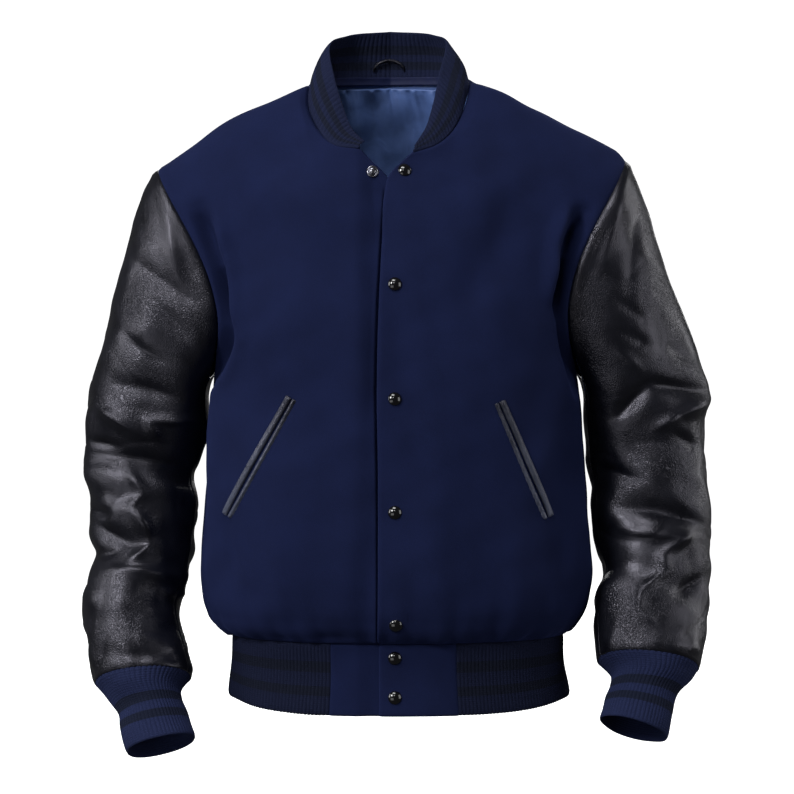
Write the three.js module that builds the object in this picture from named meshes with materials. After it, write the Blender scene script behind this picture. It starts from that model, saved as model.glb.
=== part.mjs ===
// Varsity jacket: wool body, leather sleeves, ribbed collar, cuffs and hem, snap front.
// Millimetres, +Z up, front towards -Y, the wearer's left at +X.
// The origin is on the centre line at the height of the neck's side points.
import * as THREE from 'three';

// Wall thicknesses, the gap between sewn pieces and that under pieces which lie on others
const WOOL = 2.2;
const LEATHER = 1.6;
const KNIT = 2.4;
const SATIN = 1.0;
const LOOP_THICK = 1.2;
const SEAM_GAP = 0.3;
const SEAM_SLACK = 0.04;
const LAY_GAP = 0.4;

// Collar: how far its foot stands above the neck seam, how far the foot's wall tips from level,
// how much it swells outwards between foot and top, and the middle that it stands round
const FOOT_GAP = 0.6;
const FOOT_TIP = -0.4;
const COLLAR_SWELL = 0.1;
const COLLAR_MIDDLE = { x: -4, y: -12 };

// Lining: columns left out at each side, and rows above the armpit where it starts
const LINING_INSET = 3;
const LINING_START = 4;

// Neck tape: its width and how far it lies inside the knit
const TAPE_WIDTH = 8;
const TAPE_CLEAR = 1.6;

// Rib knit: distance from rib to rib and how far a rib stands out
const RIB_PITCH = 3.9;
const RIB_HEIGHT = 0.7;

// Heights of the body's main levels, and how far the hem band hangs lower at the front
const HEM_SEAM_Z = -587;
const ARMPIT_Z = -316;
const BAND_BOTTOM_Z = -652;
const BAND_DROOP = 7;
const BAND_SIDE_Y = -40;
const BAND_FRONT_Y = -120;

// How far the panels swing outwards as they leave the neck seam, and how much the shoulder
// seam rises between its ends
const NECK_FLARE = 14;
const SHOULDER_RISE = 6;

// How far the chest and the upper back swell between the armpits and the neck
const CHEST_SWELL = 9;

// Gap between a sleeve's end and its cuff
const CUFF_GAP = 0.2;

// Roundness of the body's sections, 2 for an ellipse, more for squarer shoulders of the curve
const BODY_ROUND = 2.3;
const SLEEVE_ROUND = 2.15;

// Columns and rows of the wall grids
const FRONT_COLUMNS = 11;
const NECK_COLUMNS = 5;
const BODY_ROWS = 11;
const ARMHOLE_STEPS = 11;
const SLEEVE_ROWS = 22;
const COLLAR_RIBS = 90;
const COLLAR_COLUMNS = 40;
const COLLAR_ROWS = 2;
const CUFF_RIBS = 58;
const CUFF_COLUMNS = 22;
const CUFF_ROWS = 3;
const BAND_COLUMNS = 60;
const BAND_STEPS = 240;
const TAB_COLUMNS = 6;
const TAB_ROWS = 4;

// Rows lie closer together towards the armpit and towards the sleeve's top
const BODY_CROWDING = 1.25;
const SLEEVE_CROWDING = 1.08;
const FRONT_SLEEVE_SEAM = 10;
const BACK_SLEEVE_SEAM = 7;

// Body sections below the armpits: half widths at the wearer's right and left, depths front and back
const TORSO = [
  { z: -587, right: 177, left: 184, front: 128, back: 116 },
  { z: -577, right: 193, left: 193, front: 139, back: 127 },
  { z: -562, right: 201, left: 202, front: 146, back: 135 },
  { z: -535, right: 206, left: 208, front: 151, back: 140 },
  { z: -500, right: 207, left: 209, front: 153, back: 141 },
  { z: -455, right: 204, left: 207, front: 152, back: 139 },
  { z: -410, right: 199, left: 203, front: 150, back: 137 },
  { z: -375, right: 195, left: 200, front: 149, back: 137 },
  { z: -340, right: 194, left: 199, front: 147, back: 138 },
  { z: -316, right: 196, left: 200, front: 145, back: 139 },
];

// Hem band sections, from the seam down
const BAND = [
  { z: -587, right: 174, left: 181, front: 126, back: 114 },
  { z: -618, right: 173, left: 182, front: 125, back: 113 },
  { z: -652, right: 177, left: 188, front: 127, back: 116 },
];

// Front edges: how far each front reaches past the centre at a height
const FRONT_EDGES = {
  right: [
    { z: -660, x: 14 },
    { z: -316, x: 14 },
    { z: -150, x: 14 },
    { z: -130, x: 9 },
    { z: -112, x: -6 },
    { z: -80, x: -37 },
  ],
  left: [
    { z: -660, x: -14 },
    { z: -587, x: -15 },
    { z: -420, x: -15 },
    { z: -330, x: -16 },
    { z: -240, x: -14 },
    { z: -178, x: -11 },
    { z: -125, x: -8 },
    { z: -112, x: -5 },
    { z: -84, x: 21 },
  ],
};

// Neck seam and the collar's top edge: way 0 at the front end, 1 at the shoulder, 2 at centre back
const NECK = {
  right: [
    { way: 0, x: -37, y: -101, z: -80, topX: -31, topY: -97, topZ: -72 },
    { way: 0.25, x: -62, y: -90, z: -75, topX: -44, topY: -77, topZ: -56 },
    { way: 0.5, x: -78, y: -70, z: -58, topX: -55, topY: -56, topZ: -27 },
    { way: 0.75, x: -90, y: -40, z: -30, topX: -65, topY: -32, topZ: 7 },
    { way: 1, x: -90, y: 2, z: -1, topX: -71, topY: 3, topZ: 38 },
    { way: 1.5, x: -62, y: 48, z: 9, topX: -52, topY: 41, topZ: 59 },
    { way: 2, x: -4, y: 66, z: 12, topX: -4, topY: 57, topZ: 66 },
  ],
  left: [
    { way: 0, x: 21, y: -101, z: -84, topX: 22, topY: -97, topZ: -76 },
    { way: 0.25, x: 44, y: -90, z: -75, topX: 34, topY: -78, topZ: -54 },
    { way: 0.5, x: 61, y: -71, z: -58, topX: 42, topY: -56, topZ: -26 },
    { way: 0.75, x: 73, y: -43, z: -33, topX: 49, topY: -32, topZ: 7 },
    { way: 1, x: 81, y: 2, z: 1, topX: 57, topY: 3, topZ: 40 },
    { way: 1.5, x: 52, y: 48, z: 10, topX: 44, topY: 41, topZ: 60 },
    { way: 2, x: -4, y: 66, z: 12, topX: -4, topY: 57, topZ: 66 },
  ],
};

// Sleeve sections: outer and inner point seen from the front, middle and half depth from the side,
// the section's lean forward in degrees, and how far the armhole bows towards the neck
const SLEEVES = {
  right: [
    { drop: 0, outX: 253, outZ: -92, inX: 196, inZ: -316, y: 0, depth: 75, lean: 0, bow: 40 },
    { drop: 12, outX: 263, outZ: -108, inX: 197.5, inZ: -321, y: 0, depth: 75, lean: 0, bow: 30 },
    { drop: 40, outX: 275, outZ: -140, inX: 199, inZ: -328, y: 0, depth: 74, lean: 0, bow: 20 },
    { drop: 85, outX: 286, outZ: -182, inX: 199.5, inZ: -338, y: 1, depth: 72, lean: 0, bow: 9 },
    { drop: 130, outX: 298, outZ: -227, inX: 199.5, inZ: -350, y: 3, depth: 70, lean: 0, bow: 3 },
    { drop: 175, outX: 311, outZ: -272, inX: 199, inZ: -362, y: 6, depth: 68, lean: 0, bow: 0 },
    { drop: 215, outX: 322, outZ: -312, inX: 199.5, inZ: -376, y: 9, depth: 67, lean: 0, bow: 0 },
    { drop: 250, outX: 331, outZ: -348, inX: 205, inZ: -391, y: 11, depth: 66, lean: 1, bow: 0 },
    { drop: 285, outX: 333, outZ: -382, inX: 212, inZ: -409, y: 12, depth: 65, lean: 3, bow: 0 },
    { drop: 318, outX: 337, outZ: -416, inX: 215, inZ: -428, y: 11, depth: 64, lean: 6, bow: 0 },
    { drop: 350, outX: 330, outZ: -450, inX: 210, inZ: -452, y: 8, depth: 63, lean: 10, bow: 0 },
    { drop: 380, outX: 328, outZ: -482, inX: 214, inZ: -479, y: 2, depth: 61, lean: 13, bow: 0 },
    { drop: 405, outX: 321, outZ: -507, inX: 215, inZ: -503, y: -4, depth: 58, lean: 16, bow: 0 },
    { drop: 430, outX: 325, outZ: -532, inX: 220, inZ: -528, y: -12, depth: 56, lean: 18, bow: 0 },
    { drop: 458, outX: 328, outZ: -560, inX: 229, inZ: -558, y: -23, depth: 54, lean: 21, bow: 0 },
    { drop: 485, outX: 324, outZ: -587, inX: 225, inZ: -584, y: -35, depth: 52, lean: 23, bow: 0 },
    { drop: 510, outX: 320, outZ: -612, inX: 217, inZ: -606, y: -46, depth: 51, lean: 25, bow: 0 },
    { drop: 533, outX: 314, outZ: -637, inX: 211, inZ: -627, y: -57, depth: 48, lean: 25, bow: 0 },
  ],
  left: [
    { drop: 0, outX: 248, outZ: -82, inX: 200, inZ: -316, y: 0, depth: 75, lean: 0, bow: 46 },
    { drop: 12, outX: 257, outZ: -99, inX: 202, inZ: -321, y: 0, depth: 75, lean: 0, bow: 34 },
    { drop: 40, outX: 268, outZ: -130, inX: 204, inZ: -328, y: 0, depth: 74, lean: 0, bow: 22 },
    { drop: 85, outX: 283, outZ: -173, inX: 205, inZ: -338, y: 1, depth: 72, lean: 0, bow: 10 },
    { drop: 130, outX: 299, outZ: -218, inX: 205, inZ: -350, y: 3, depth: 70, lean: 0, bow: 3 },
    { drop: 175, outX: 317, outZ: -263, inX: 205, inZ: -364, y: 6, depth: 68, lean: 0, bow: 0 },
    { drop: 215, outX: 333, outZ: -304, inX: 205, inZ: -380, y: 9, depth: 67, lean: 0, bow: 0 },
    { drop: 247, outX: 343, outZ: -335, inX: 206, inZ: -396, y: 11, depth: 66, lean: 1, bow: 0 },
    { drop: 282, outX: 333, outZ: -370, inX: 209, inZ: -412, y: 12, depth: 65, lean: 3, bow: 0 },
    { drop: 318, outX: 337, outZ: -406, inX: 214, inZ: -434, y: 11, depth: 64, lean: 6, bow: 0 },
    { drop: 350, outX: 340, outZ: -440, inX: 213, inZ: -456, y: 8, depth: 63, lean: 10, bow: 0 },
    { drop: 380, outX: 340, outZ: -475, inX: 215, inZ: -480, y: 2, depth: 61, lean: 13, bow: 0 },
    { drop: 405, outX: 338, outZ: -503, inX: 218, inZ: -501, y: -4, depth: 58, lean: 16, bow: 0 },
    { drop: 430, outX: 337, outZ: -530, inX: 222, inZ: -522, y: -12, depth: 56, lean: 18, bow: 0 },
    { drop: 455, outX: 334, outZ: -556, inX: 213, inZ: -545, y: -22, depth: 54, lean: 21, bow: 0 },
    { drop: 480, outX: 330, outZ: -580, inX: 212, inZ: -568, y: -33, depth: 52, lean: 23, bow: 0 },
    { drop: 502, outX: 325, outZ: -602, inX: 212, inZ: -590, y: -43, depth: 51, lean: 25, bow: 0 },
    { drop: 522, outX: 321, outZ: -622, inX: 212, inZ: -611, y: -52, depth: 48, lean: 25, bow: 0 },
  ],
};

// Cuff sections, from the sleeve's end down, in the same columns
const CUFFS = {
  right: [
    { drop: 0, outX: 312, outZ: -637.5, inX: 213, inZ: -627.5, y: -57, depth: 47, lean: 25 },
    { drop: 12, outX: 300, outZ: -650, inX: 222, inZ: -639, y: -63, depth: 41, lean: 25 },
    { drop: 25, outX: 288, outZ: -663, inX: 222, inZ: -650, y: -69, depth: 36, lean: 25 },
    { drop: 45, outX: 283, outZ: -680, inX: 214, inZ: -666, y: -77, depth: 35, lean: 24 },
    { drop: 68, outX: 277, outZ: -704, inX: 204, inZ: -686, y: -88, depth: 36, lean: 24 },
  ],
  left: [
    { drop: 0, outX: 319, outZ: -622.5, inX: 214, inZ: -611.5, y: -52, depth: 47, lean: 25 },
    { drop: 12, outX: 309, outZ: -634, inX: 226, inZ: -624, y: -58, depth: 41, lean: 25 },
    { drop: 25, outX: 297, outZ: -646, inX: 226, inZ: -636, y: -64, depth: 36, lean: 25 },
    { drop: 45, outX: 290, outZ: -665, inX: 219, inZ: -650, y: -73, depth: 35, lean: 24 },
    { drop: 66, outX: 283, outZ: -689, inX: 212, inZ: -668, y: -84, depth: 36, lean: 24 },
  ],
};

// A fold fades where the cloth turns away from its side, and its ends are this share of its depth
const FOLD_TURN = 0.35;
const FOLD_END = 0.35;

// Large folds: a line on the front or back as seen from the front, its half width and its depth
const BODY_FOLDS = [
  { face: -1, x0: -196, z0: -205, x1: -184, z1: -350, width: 17, depth: -14 },
  { face: -1, x0: -172, z0: -190, x1: -158, z1: -300, width: 16, depth: 7 },
  { face: -1, x0: 188, z0: -205, x1: 186, z1: -360, width: 16, depth: -13 },
  { face: -1, x0: 164, z0: -180, x1: 160, z1: -310, width: 16, depth: 6 },
  { face: -1, x0: -140, z0: -130, x1: -50, z1: -240, width: 24, depth: -4 },
  { face: -1, x0: 130, z0: -130, x1: 60, z1: -250, width: 24, depth: -4 },
  { face: 1, x0: -186, z0: -205, x1: -176, z1: -350, width: 17, depth: -12 },
  { face: 1, x0: 186, z0: -205, x1: 178, z1: -340, width: 17, depth: -12 },
  { face: 1, x0: -120, z0: -160, x1: -60, z1: -300, width: 26, depth: -4 },
  { face: 1, x0: 120, z0: -160, x1: 70, z1: -290, width: 26, depth: -4 },
];

const SLEEVE_FOLDS = {
  right: [
    { face: -1, x0: 330, z0: -322, x1: 215, z1: -352, width: 13, depth: -7 },
    { face: -1, x0: 335, z0: -400, x1: 225, z1: -424, width: 13, depth: -9 },
    { face: -1, x0: 325, z0: -376, x1: 225, z1: -385, width: 12, depth: 4 },
    { face: -1, x0: 330, z0: -480, x1: 245, z1: -486, width: 11, depth: -7 },
    { face: -1, x0: 320, z0: -455, x1: 240, z1: -462, width: 11, depth: 4 },
    { face: -1, x0: 322, z0: -515, x1: 225, z1: -524, width: 10, depth: -5 },
    { face: 1, x0: 330, z0: -360, x1: 225, z1: -385, width: 14, depth: -8 },
    { face: 1, x0: 330, z0: -440, x1: 225, z1: -448, width: 13, depth: -7 },
    { face: 1, x0: 325, z0: -505, x1: 230, z1: -512, width: 12, depth: -6 },
  ],
  left: [
    { face: -1, x0: 338, z0: -330, x1: 235, z1: -352, width: 13, depth: -8 },
    { face: -1, x0: 334, z0: -352, x1: 260, z1: -372, width: 10, depth: 4 },
    { face: -1, x0: 330, z0: -384, x1: 250, z1: -362, width: 12, depth: -5 },
    { face: -1, x0: 338, z0: -462, x1: 240, z1: -458, width: 11, depth: -7 },
    { face: -1, x0: 330, z0: -484, x1: 240, z1: -478, width: 11, depth: 4 },
    { face: -1, x0: 330, z0: -520, x1: 240, z1: -540, width: 11, depth: -6 },
    { face: 1, x0: 335, z0: -352, x1: 230, z1: -384, width: 14, depth: -8 },
    { face: 1, x0: 338, z0: -432, x1: 230, z1: -440, width: 13, depth: -7 },
    { face: 1, x0: 333, z0: -500, x1: 230, z1: -506, width: 12, depth: -6 },
  ],
};

// Snap caps on the top layer, from the neck down, and the open snap's stud on the underlap
const SNAP_CAPS = [
  { x: 11, z: -104 },
  { x: 1, z: -222 },
  { x: 1, z: -338 },
  { x: 1, z: -452 },
  { x: 2, z: -566 },
  { x: 1, z: -601 },
  { x: 1, z: -641 },
];
const SNAP_STUD = { x: -22, z: -105 };
const CAP_RADIUS = 6.8;
const CAP_HEIGHT = 3;
const SNAP_SIDES = 14;

// Slanted pockets: the slit's upper and lower end on each front
const POCKETS = {
  right: { x0: -103, z0: -338, x1: -171, z1: -458 },
  left: { x0: 106, z0: -342, x1: 157, z1: -459 },
};

// Welts: width, wall, how much the middle stands up, the play under them and half the slit
const WELT_WIDTH = 5.5;
const WELT_THICK = 1.8;
const WELT_STEPS = 10;
const WELT_CROWN = 0.7;
const WELT_LIFT = 0.35;
const SLIT_HALF = 1;

// Hem tabs: where the wool tabs end and the rib begins, and how far each reaches past the centre
const TAB_END = { right: -65, left: 64 };
const TAB_REACH = 14;

// Overlap of the fronts: how deep the underlap lies under the top layer, between which x and
// between which heights it deepens, and how many columns at the side stay as they are
const UNDERLAP_DEPTH = 3.4;
const UNDERLAP_X = [-40, -20];
const UNDERLAP_Z = [-400, -300];
const UNTUCKED_COLUMNS = 2;

// Colours, roughness and metalness of the finishes
const FINISHES = {
  wool: { color: 0x1b2040, roughness: 0.95, metalness: 0 },
  leather: { color: 0x1c1c22, roughness: 0.38, metalness: 0 },
  knit: { color: 0x1b2040, roughness: 0.92, metalness: 0 },
  satin: { color: 0x262f57, roughness: 0.35, metalness: 0 },
  gloss: { color: 0x0c0c10, roughness: 0.12, metalness: 0.6 },
  nickel: { color: 0x8a8a90, roughness: 0.25, metalness: 1 },
};

// Share of a length over which a direction is measured, and the slack of a comparison
const NEAR = 0.005;
const TINY = 1e-6;

// Small number helpers
const mix = (from, to, part) => from + (to - from) * part;
const clamp = (value, low, high) => Math.min(high, Math.max(low, value));
const sideSign = (side) => (side === 'right' ? -1 : 1);
const minus = (a, b) => [a[0] - b[0], a[1] - b[1], a[2] - b[2]];
const moved = (point, direction, step) => point.map((value, axis) => value + direction[axis] * step);
const dot = (a, b) => a[0] * b[0] + a[1] * b[1] + a[2] * b[2];
const cross = (a, b) => [
  a[1] * b[2] - a[2] * b[1],
  a[2] * b[0] - a[0] * b[2],
  a[0] * b[1] - a[1] * b[0],
];
const unit = (a) => {
  const length = Math.hypot(...a) || 1;
  return a.map((value) => value / length);
};
const ease = (low, high, value) => {
  const part = clamp((value - low) / (high - low), 0, 1);
  return part * part * (3 - 2 * part);
};
const signedPower = (value, power) => Math.sign(value) * Math.abs(value) ** power;

// Value of a table's column at a key, on a smooth curve through the rows (cubic between rows,
// its slope at a row is that of the parabola through the row and its neighbours)
function column(table, keyName, key, name) {
  const rows = table[0][keyName] < table[table.length - 1][keyName] ? table : [...table].reverse();
  const last = rows.length - 1;
  const at = clamp(key, rows[0][keyName], rows[last][keyName]);
  let i = 0;
  while (i < last - 1 && at > rows[i + 1][keyName]) i += 1;
  const rise = (k) => (rows[k + 1][name] - rows[k][name]) / (rows[k + 1][keyName] - rows[k][keyName]);
  const slope = (k) => {
    if (k === 0) return rise(0);
    if (k === last) return rise(last - 1);
    const before = rows[k][keyName] - rows[k - 1][keyName];
    const after = rows[k + 1][keyName] - rows[k][keyName];
    return (rise(k - 1) * after + rise(k) * before) / (before + after);
  };
  const step = rows[i + 1][keyName] - rows[i][keyName];
  const t = (at - rows[i][keyName]) / step;
  const t2 = t * t;
  const t3 = t2 * t;
  return (2 * t3 - 3 * t2 + 1) * rows[i][name] + (t3 - 2 * t2 + t) * step * slope(i)
    + (-2 * t3 + 3 * t2) * rows[i + 1][name] + (t3 - t2) * step * slope(i + 1);
}

// Depth of a body section at x: a rounded curve from the middle to the side
function sectionDepth(x, half, deep) {
  const part = clamp(Math.abs(x) / half, 0, 1);
  return deep * (1 - part ** BODY_ROUND) ** (1 / BODY_ROUND);
}

// A point of a closed section, face -1 front or 1 back, at height z of a section table
function sectionPoint(table, face, x, z) {
  const half = column(table, 'z', z, x < 0 ? 'right' : 'left');
  const deep = column(table, 'z', z, face < 0 ? 'front' : 'back');
  return [x, face * sectionDepth(x, half, deep), z];
}

// Fraction of the way to the side for a column: close together where the section turns
const sideways = (part) => Math.sin(part * Math.PI / 2) ** (2 / BODY_ROUND);

// How the armhole's bow grows from the shoulder and dies out at the armpit
const bowShape = (down) => 4 * down ** 1.5 * (1 - down);

// A sleeve or cuff section: angle 0 is the outer line, 180 degrees the inner line
function tubePoint(table, side, face, angle, drop) {
  const at = (name) => column(table, 'drop', drop, name);
  const across = signedPower(Math.cos(angle), 2 / SLEEVE_ROUND);
  const along = Math.abs(Math.sin(angle)) ** (2 / SLEEVE_ROUND) * face;
  const lean = at('lean') * Math.PI / 180;
  const down = (1 - across) / 2;
  const bow = table[0].bow ? at('bow') * bowShape(down) : 0;
  const x = mix(at('outX'), at('inX'), down) - bow;
  const z = mix(at('outZ'), at('inZ'), down) - along * at('depth') * Math.sin(lean);
  return [sideSign(side) * x, at('y') + along * at('depth') * Math.cos(lean), z];
}

// Armhole seam, from the shoulder at angle 0 to the armpit at 180 degrees
const armhole = (side, face, angle) => tubePoint(SLEEVES[side], side, face, angle, 0);

// Neck seam and collar top at a way along it
function neckPoint(side, way, top) {
  const names = top ? ['topX', 'topY', 'topZ'] : ['x', 'y', 'z'];
  return names.map((name) => column(NECK[side], 'way', way, name));
}

// Top edge of a front or back: neck seam up to the shoulder, then the shoulder seam
function topEdge(side, face, index) {
  if (index <= NECK_COLUMNS) {
    const way = face < 0 ? index / NECK_COLUMNS : 2 - index / NECK_COLUMNS;
    return neckPoint(side, way, false);
  }
  const part = (index - NECK_COLUMNS) / (FRONT_COLUMNS - NECK_COLUMNS);
  const neck = neckPoint(side, 1, false);
  const tip = armhole(side, face, 0);
  const rise = SHOULDER_RISE * Math.sin(part * Math.PI);
  return [mix(neck[0], tip[0], part), mix(neck[1], tip[1], part), mix(neck[2], tip[2], part) + rise];
}

// The neck flare's share from the centre to the side: full at a third of the way, none at the ends
const flareShape = (part) => 27 / 4 * part * (1 - part) ** 2;

// One point of half a body panel: columns from the centre to the side, rows from the hem up.
// Above the armpits a row is part of a section that ends on the armhole, and it is eased into
// the neck and shoulder seams so that the shoulder rounds over.
function panelPoint(side, face, columnIndex, row) {
  const sign = sideSign(side);
  const part = columnIndex / FRONT_COLUMNS;
  const edgeAt = (z) => (face < 0 ? column(FRONT_EDGES[side], 'z', z, 'x') : 0);
  if (row <= BODY_ROWS) {
    const z = mix(HEM_SEAM_Z, ARMPIT_Z, 1 - (1 - row / BODY_ROWS) ** BODY_CROWDING);
    const half = column(TORSO, 'z', z, side) * sign;
    return sectionPoint(TORSO, face, mix(edgeAt(z), half, sideways(part)), z);
  }
  const angle = Math.PI * (1 - (row - BODY_ROWS) / ARMHOLE_STEPS);
  const hole = armhole(side, face, angle);
  if (columnIndex === FRONT_COLUMNS) return hole;
  const top = topEdge(side, face, columnIndex);
  if (row === BODY_ROWS + ARMHOLE_STEPS) return top;
  const down = (1 - signedPower(Math.cos(angle), 2 / SLEEVE_ROUND)) / 2;
  const up = 1 - down;
  const over = Math.sqrt(1 - up * up);
  const edgeTop = topEdge(side, face, 0);
  const tip = armhole(side, face, 0);
  const centreTop = Math.abs(edgeTop[1]);
  const centre = mix(centreTop, column(TORSO, 'z', ARMPIT_Z, face < 0 ? 'front' : 'back'), down)
    + CHEST_SWELL * Math.sin(Math.PI * up);
  const deep = centreTop + (centre - centreTop) / over;
  const edge = edgeAt(mix(edgeTop[2], ARMPIT_Z, down));
  const spread = mix(sideways(part), part, up);
  const x = mix(edge, hole[0], spread);
  const holeDeep = Math.min(Math.abs(hole[1]) / over, deep * 0.99);
  const reach = (1 - (holeDeep / deep) ** BODY_ROUND) ** (1 / BODY_ROUND);
  const depth = sectionDepth(x, Math.abs(hole[0]) / reach, deep);
  const topShift = top[0] - mix(edgeTop[0], tip[0], part);
  const flare = NECK_FLARE * flareShape(part) * Math.sin(angle);
  return [
    x + topShift * (1 - over) + sign * flare,
    mix(top[1], face * depth, over),
    mix(top[2], ARMPIT_Z, down),
  ];
}

// How far a point lies from a fold's line seen from the front, as a soft raised or sunk height
function foldHeight(folds, point, normal, mirror) {
  let height = 0;
  for (const fold of folds) {
    const facing = ease(-FOLD_TURN, FOLD_TURN, normal[1] * fold.face);
    const dx = fold.x1 - fold.x0;
    const dz = fold.z1 - fold.z0;
    const along = ((point[0] * mirror - fold.x0) * dx + (point[2] - fold.z0) * dz) / (dx * dx + dz * dz);
    const near = clamp(along, 0, 1);
    const away = Math.hypot(point[0] * mirror - fold.x0 - near * dx, point[2] - fold.z0 - near * dz);
    const taper = mix(FOLD_END, 1, Math.sin(Math.PI * near));
    height += fold.depth * facing * taper * Math.exp(-((away / fold.width) ** 2));
  }
  return height;
}

// A grid of points from a function of column and row
function makeGrid(columns, rows, at) {
  const grid = [];
  for (let i = 0; i <= columns; i += 1) {
    const line = [];
    for (let j = 0; j <= rows; j += 1) line.push(at(i, j));
    grid.push(line);
  }
  return grid;
}

// Normals of a grid, column direction crossed with row direction, turned outwards by sign
function gridNormals(grid, sign) {
  const last = grid.length - 1;
  const end = grid[0].length - 1;
  return grid.map((line, i) => line.map((point, j) => {
    const acrossGrid = minus(grid[Math.min(i + 1, last)][j], grid[Math.max(i - 1, 0)][j]);
    const alongGrid = minus(grid[i][Math.min(j + 1, end)], grid[i][Math.max(j - 1, 0)]);
    return unit(cross(acrossGrid, alongGrid).map((value) => value * sign));
  }));
}

// A sheet: outer points, normals and wall thickness, made solid after the seams are matched
function makeSheet(name, grid, sign, thick, finish, folds, mirror) {
  let normals = gridNormals(grid, sign);
  const last = grid.length - 1;
  const end = grid[0].length - 1;
  if (folds) {
    const raised = grid.map((line, i) => line.map((point, j) => {
      const inset = Math.min(i, last - i, j, end - j) > 0 ? 1 : 0;
      return moved(point, normals[i][j], inset * foldHeight(folds, point, normals[i][j], mirror));
    }));
    for (let i = 0; i <= last; i += 1) grid[i] = raised[i];
    normals = gridNormals(grid, sign);
  }
  return { name, grid, normals, sign, thick, finish };
}

// Sheets that meet at a seam get one common normal there, except at a sharp inward fold, where
// the normals point apart by more than SAME_TURN allows
const SAME_TURN = 0.2;

function matchSeams(sheets) {
  const places = new Map();
  const keyOf = (point) => point.map((value) => Math.round(value * 100)).join(' ');
  const eachEdge = (sheet, visit) => {
    const last = sheet.grid.length - 1;
    const end = sheet.grid[0].length - 1;
    sheet.grid.forEach((line, i) => line.forEach((point, j) => {
      if (i === 0 || j === 0 || i === last || j === end) visit(point, i, j);
    }));
  };
  for (const sheet of sheets) {
    eachEdge(sheet, (point, i, j) => {
      const key = keyOf(point);
      if (!places.has(key)) places.set(key, []);
      places.get(key).push(sheet.normals[i][j]);
    });
  }
  const matched = [];
  for (const sheet of sheets) {
    eachEdge(sheet, (point, i, j) => {
      const own = sheet.normals[i][j];
      const near = places.get(keyOf(point)).filter((normal) => dot(normal, own) > SAME_TURN);
      const sum = near.reduce((total, normal) => moved(total, normal, 1), [0, 0, 0]);
      matched.push({ sheet, i, j, normal: unit(sum) });
    });
  }
  for (const { sheet, i, j, normal } of matched) sheet.normals[i][j] = normal;
}

// Edge points move in from the seam by half its gap
function pullFromSeams(sheet) {
  const { grid } = sheet;
  const last = grid.length - 1;
  const end = grid[0].length - 1;
  const step = SEAM_GAP / 2 + SEAM_SLACK;
  const towards = (from, to) => moved(from, unit(minus(to, from)), step);
  for (let j = 0; j <= end; j += 1) {
    grid[0][j] = towards(grid[0][j], grid[1][j]);
    grid[last][j] = towards(grid[last][j], grid[last - 1][j]);
  }
  for (let i = 0; i <= last; i += 1) {
    grid[i][0] = towards(grid[i][0], grid[i][1]);
    grid[i][end] = towards(grid[i][end], grid[i][end - 1]);
  }
}

// Closed body from triangles that name their points
class Solid {
  constructor() {
    this.points = [];
    this.triangles = [];
  }

  point(place) {
    this.points.push(place);
    return this.points.length - 1;
  }

  quad(a, b, c, d) {
    this.triangles.push([a, b, c], [a, c, d]);
  }

  geometry(flip) {
    const shape = new THREE.BufferGeometry();
    shape.setAttribute('position', new THREE.Float32BufferAttribute(this.points.flat(), 3));
    const order = flip ? ([a, b, c]) => [a, c, b] : (triangle) => triangle;
    shape.setIndex(this.triangles.map(order).flat());
    return shape;
  }
}

// Wall of a sheet: outer grid, inner grid along the normals, and the strips round the edge
function sheetGeometry(sheet) {
  const { grid, normals, thick, sign } = sheet;
  const last = grid.length - 1;
  const end = grid[0].length - 1;
  const solid = new Solid();
  const outer = grid.map((line) => line.map((point) => solid.point(point)));
  const inner = grid.map((line, i) => line.map((point, j) => (
    solid.point(moved(point, normals[i][j], -thick)))));
  for (let i = 0; i < last; i += 1) {
    for (let j = 0; j < end; j += 1) {
      solid.quad(outer[i][j], outer[i + 1][j], outer[i + 1][j + 1], outer[i][j + 1]);
      solid.quad(inner[i + 1][j + 1], inner[i + 1][j], inner[i][j], inner[i][j + 1]);
    }
  }
  for (let i = 0; i < last; i += 1) {
    solid.quad(outer[i + 1][0], outer[i][0], inner[i][0], inner[i + 1][0]);
    solid.quad(outer[i][end], outer[i + 1][end], inner[i + 1][end], inner[i][end]);
  }
  for (let j = 0; j < end; j += 1) {
    solid.quad(outer[0][j], outer[0][j + 1], inner[0][j + 1], inner[0][j]);
    solid.quad(outer[last][j + 1], outer[last][j], inner[last][j], inner[last][j + 1]);
  }
  return solid.geometry(sign < 0);
}

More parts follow.
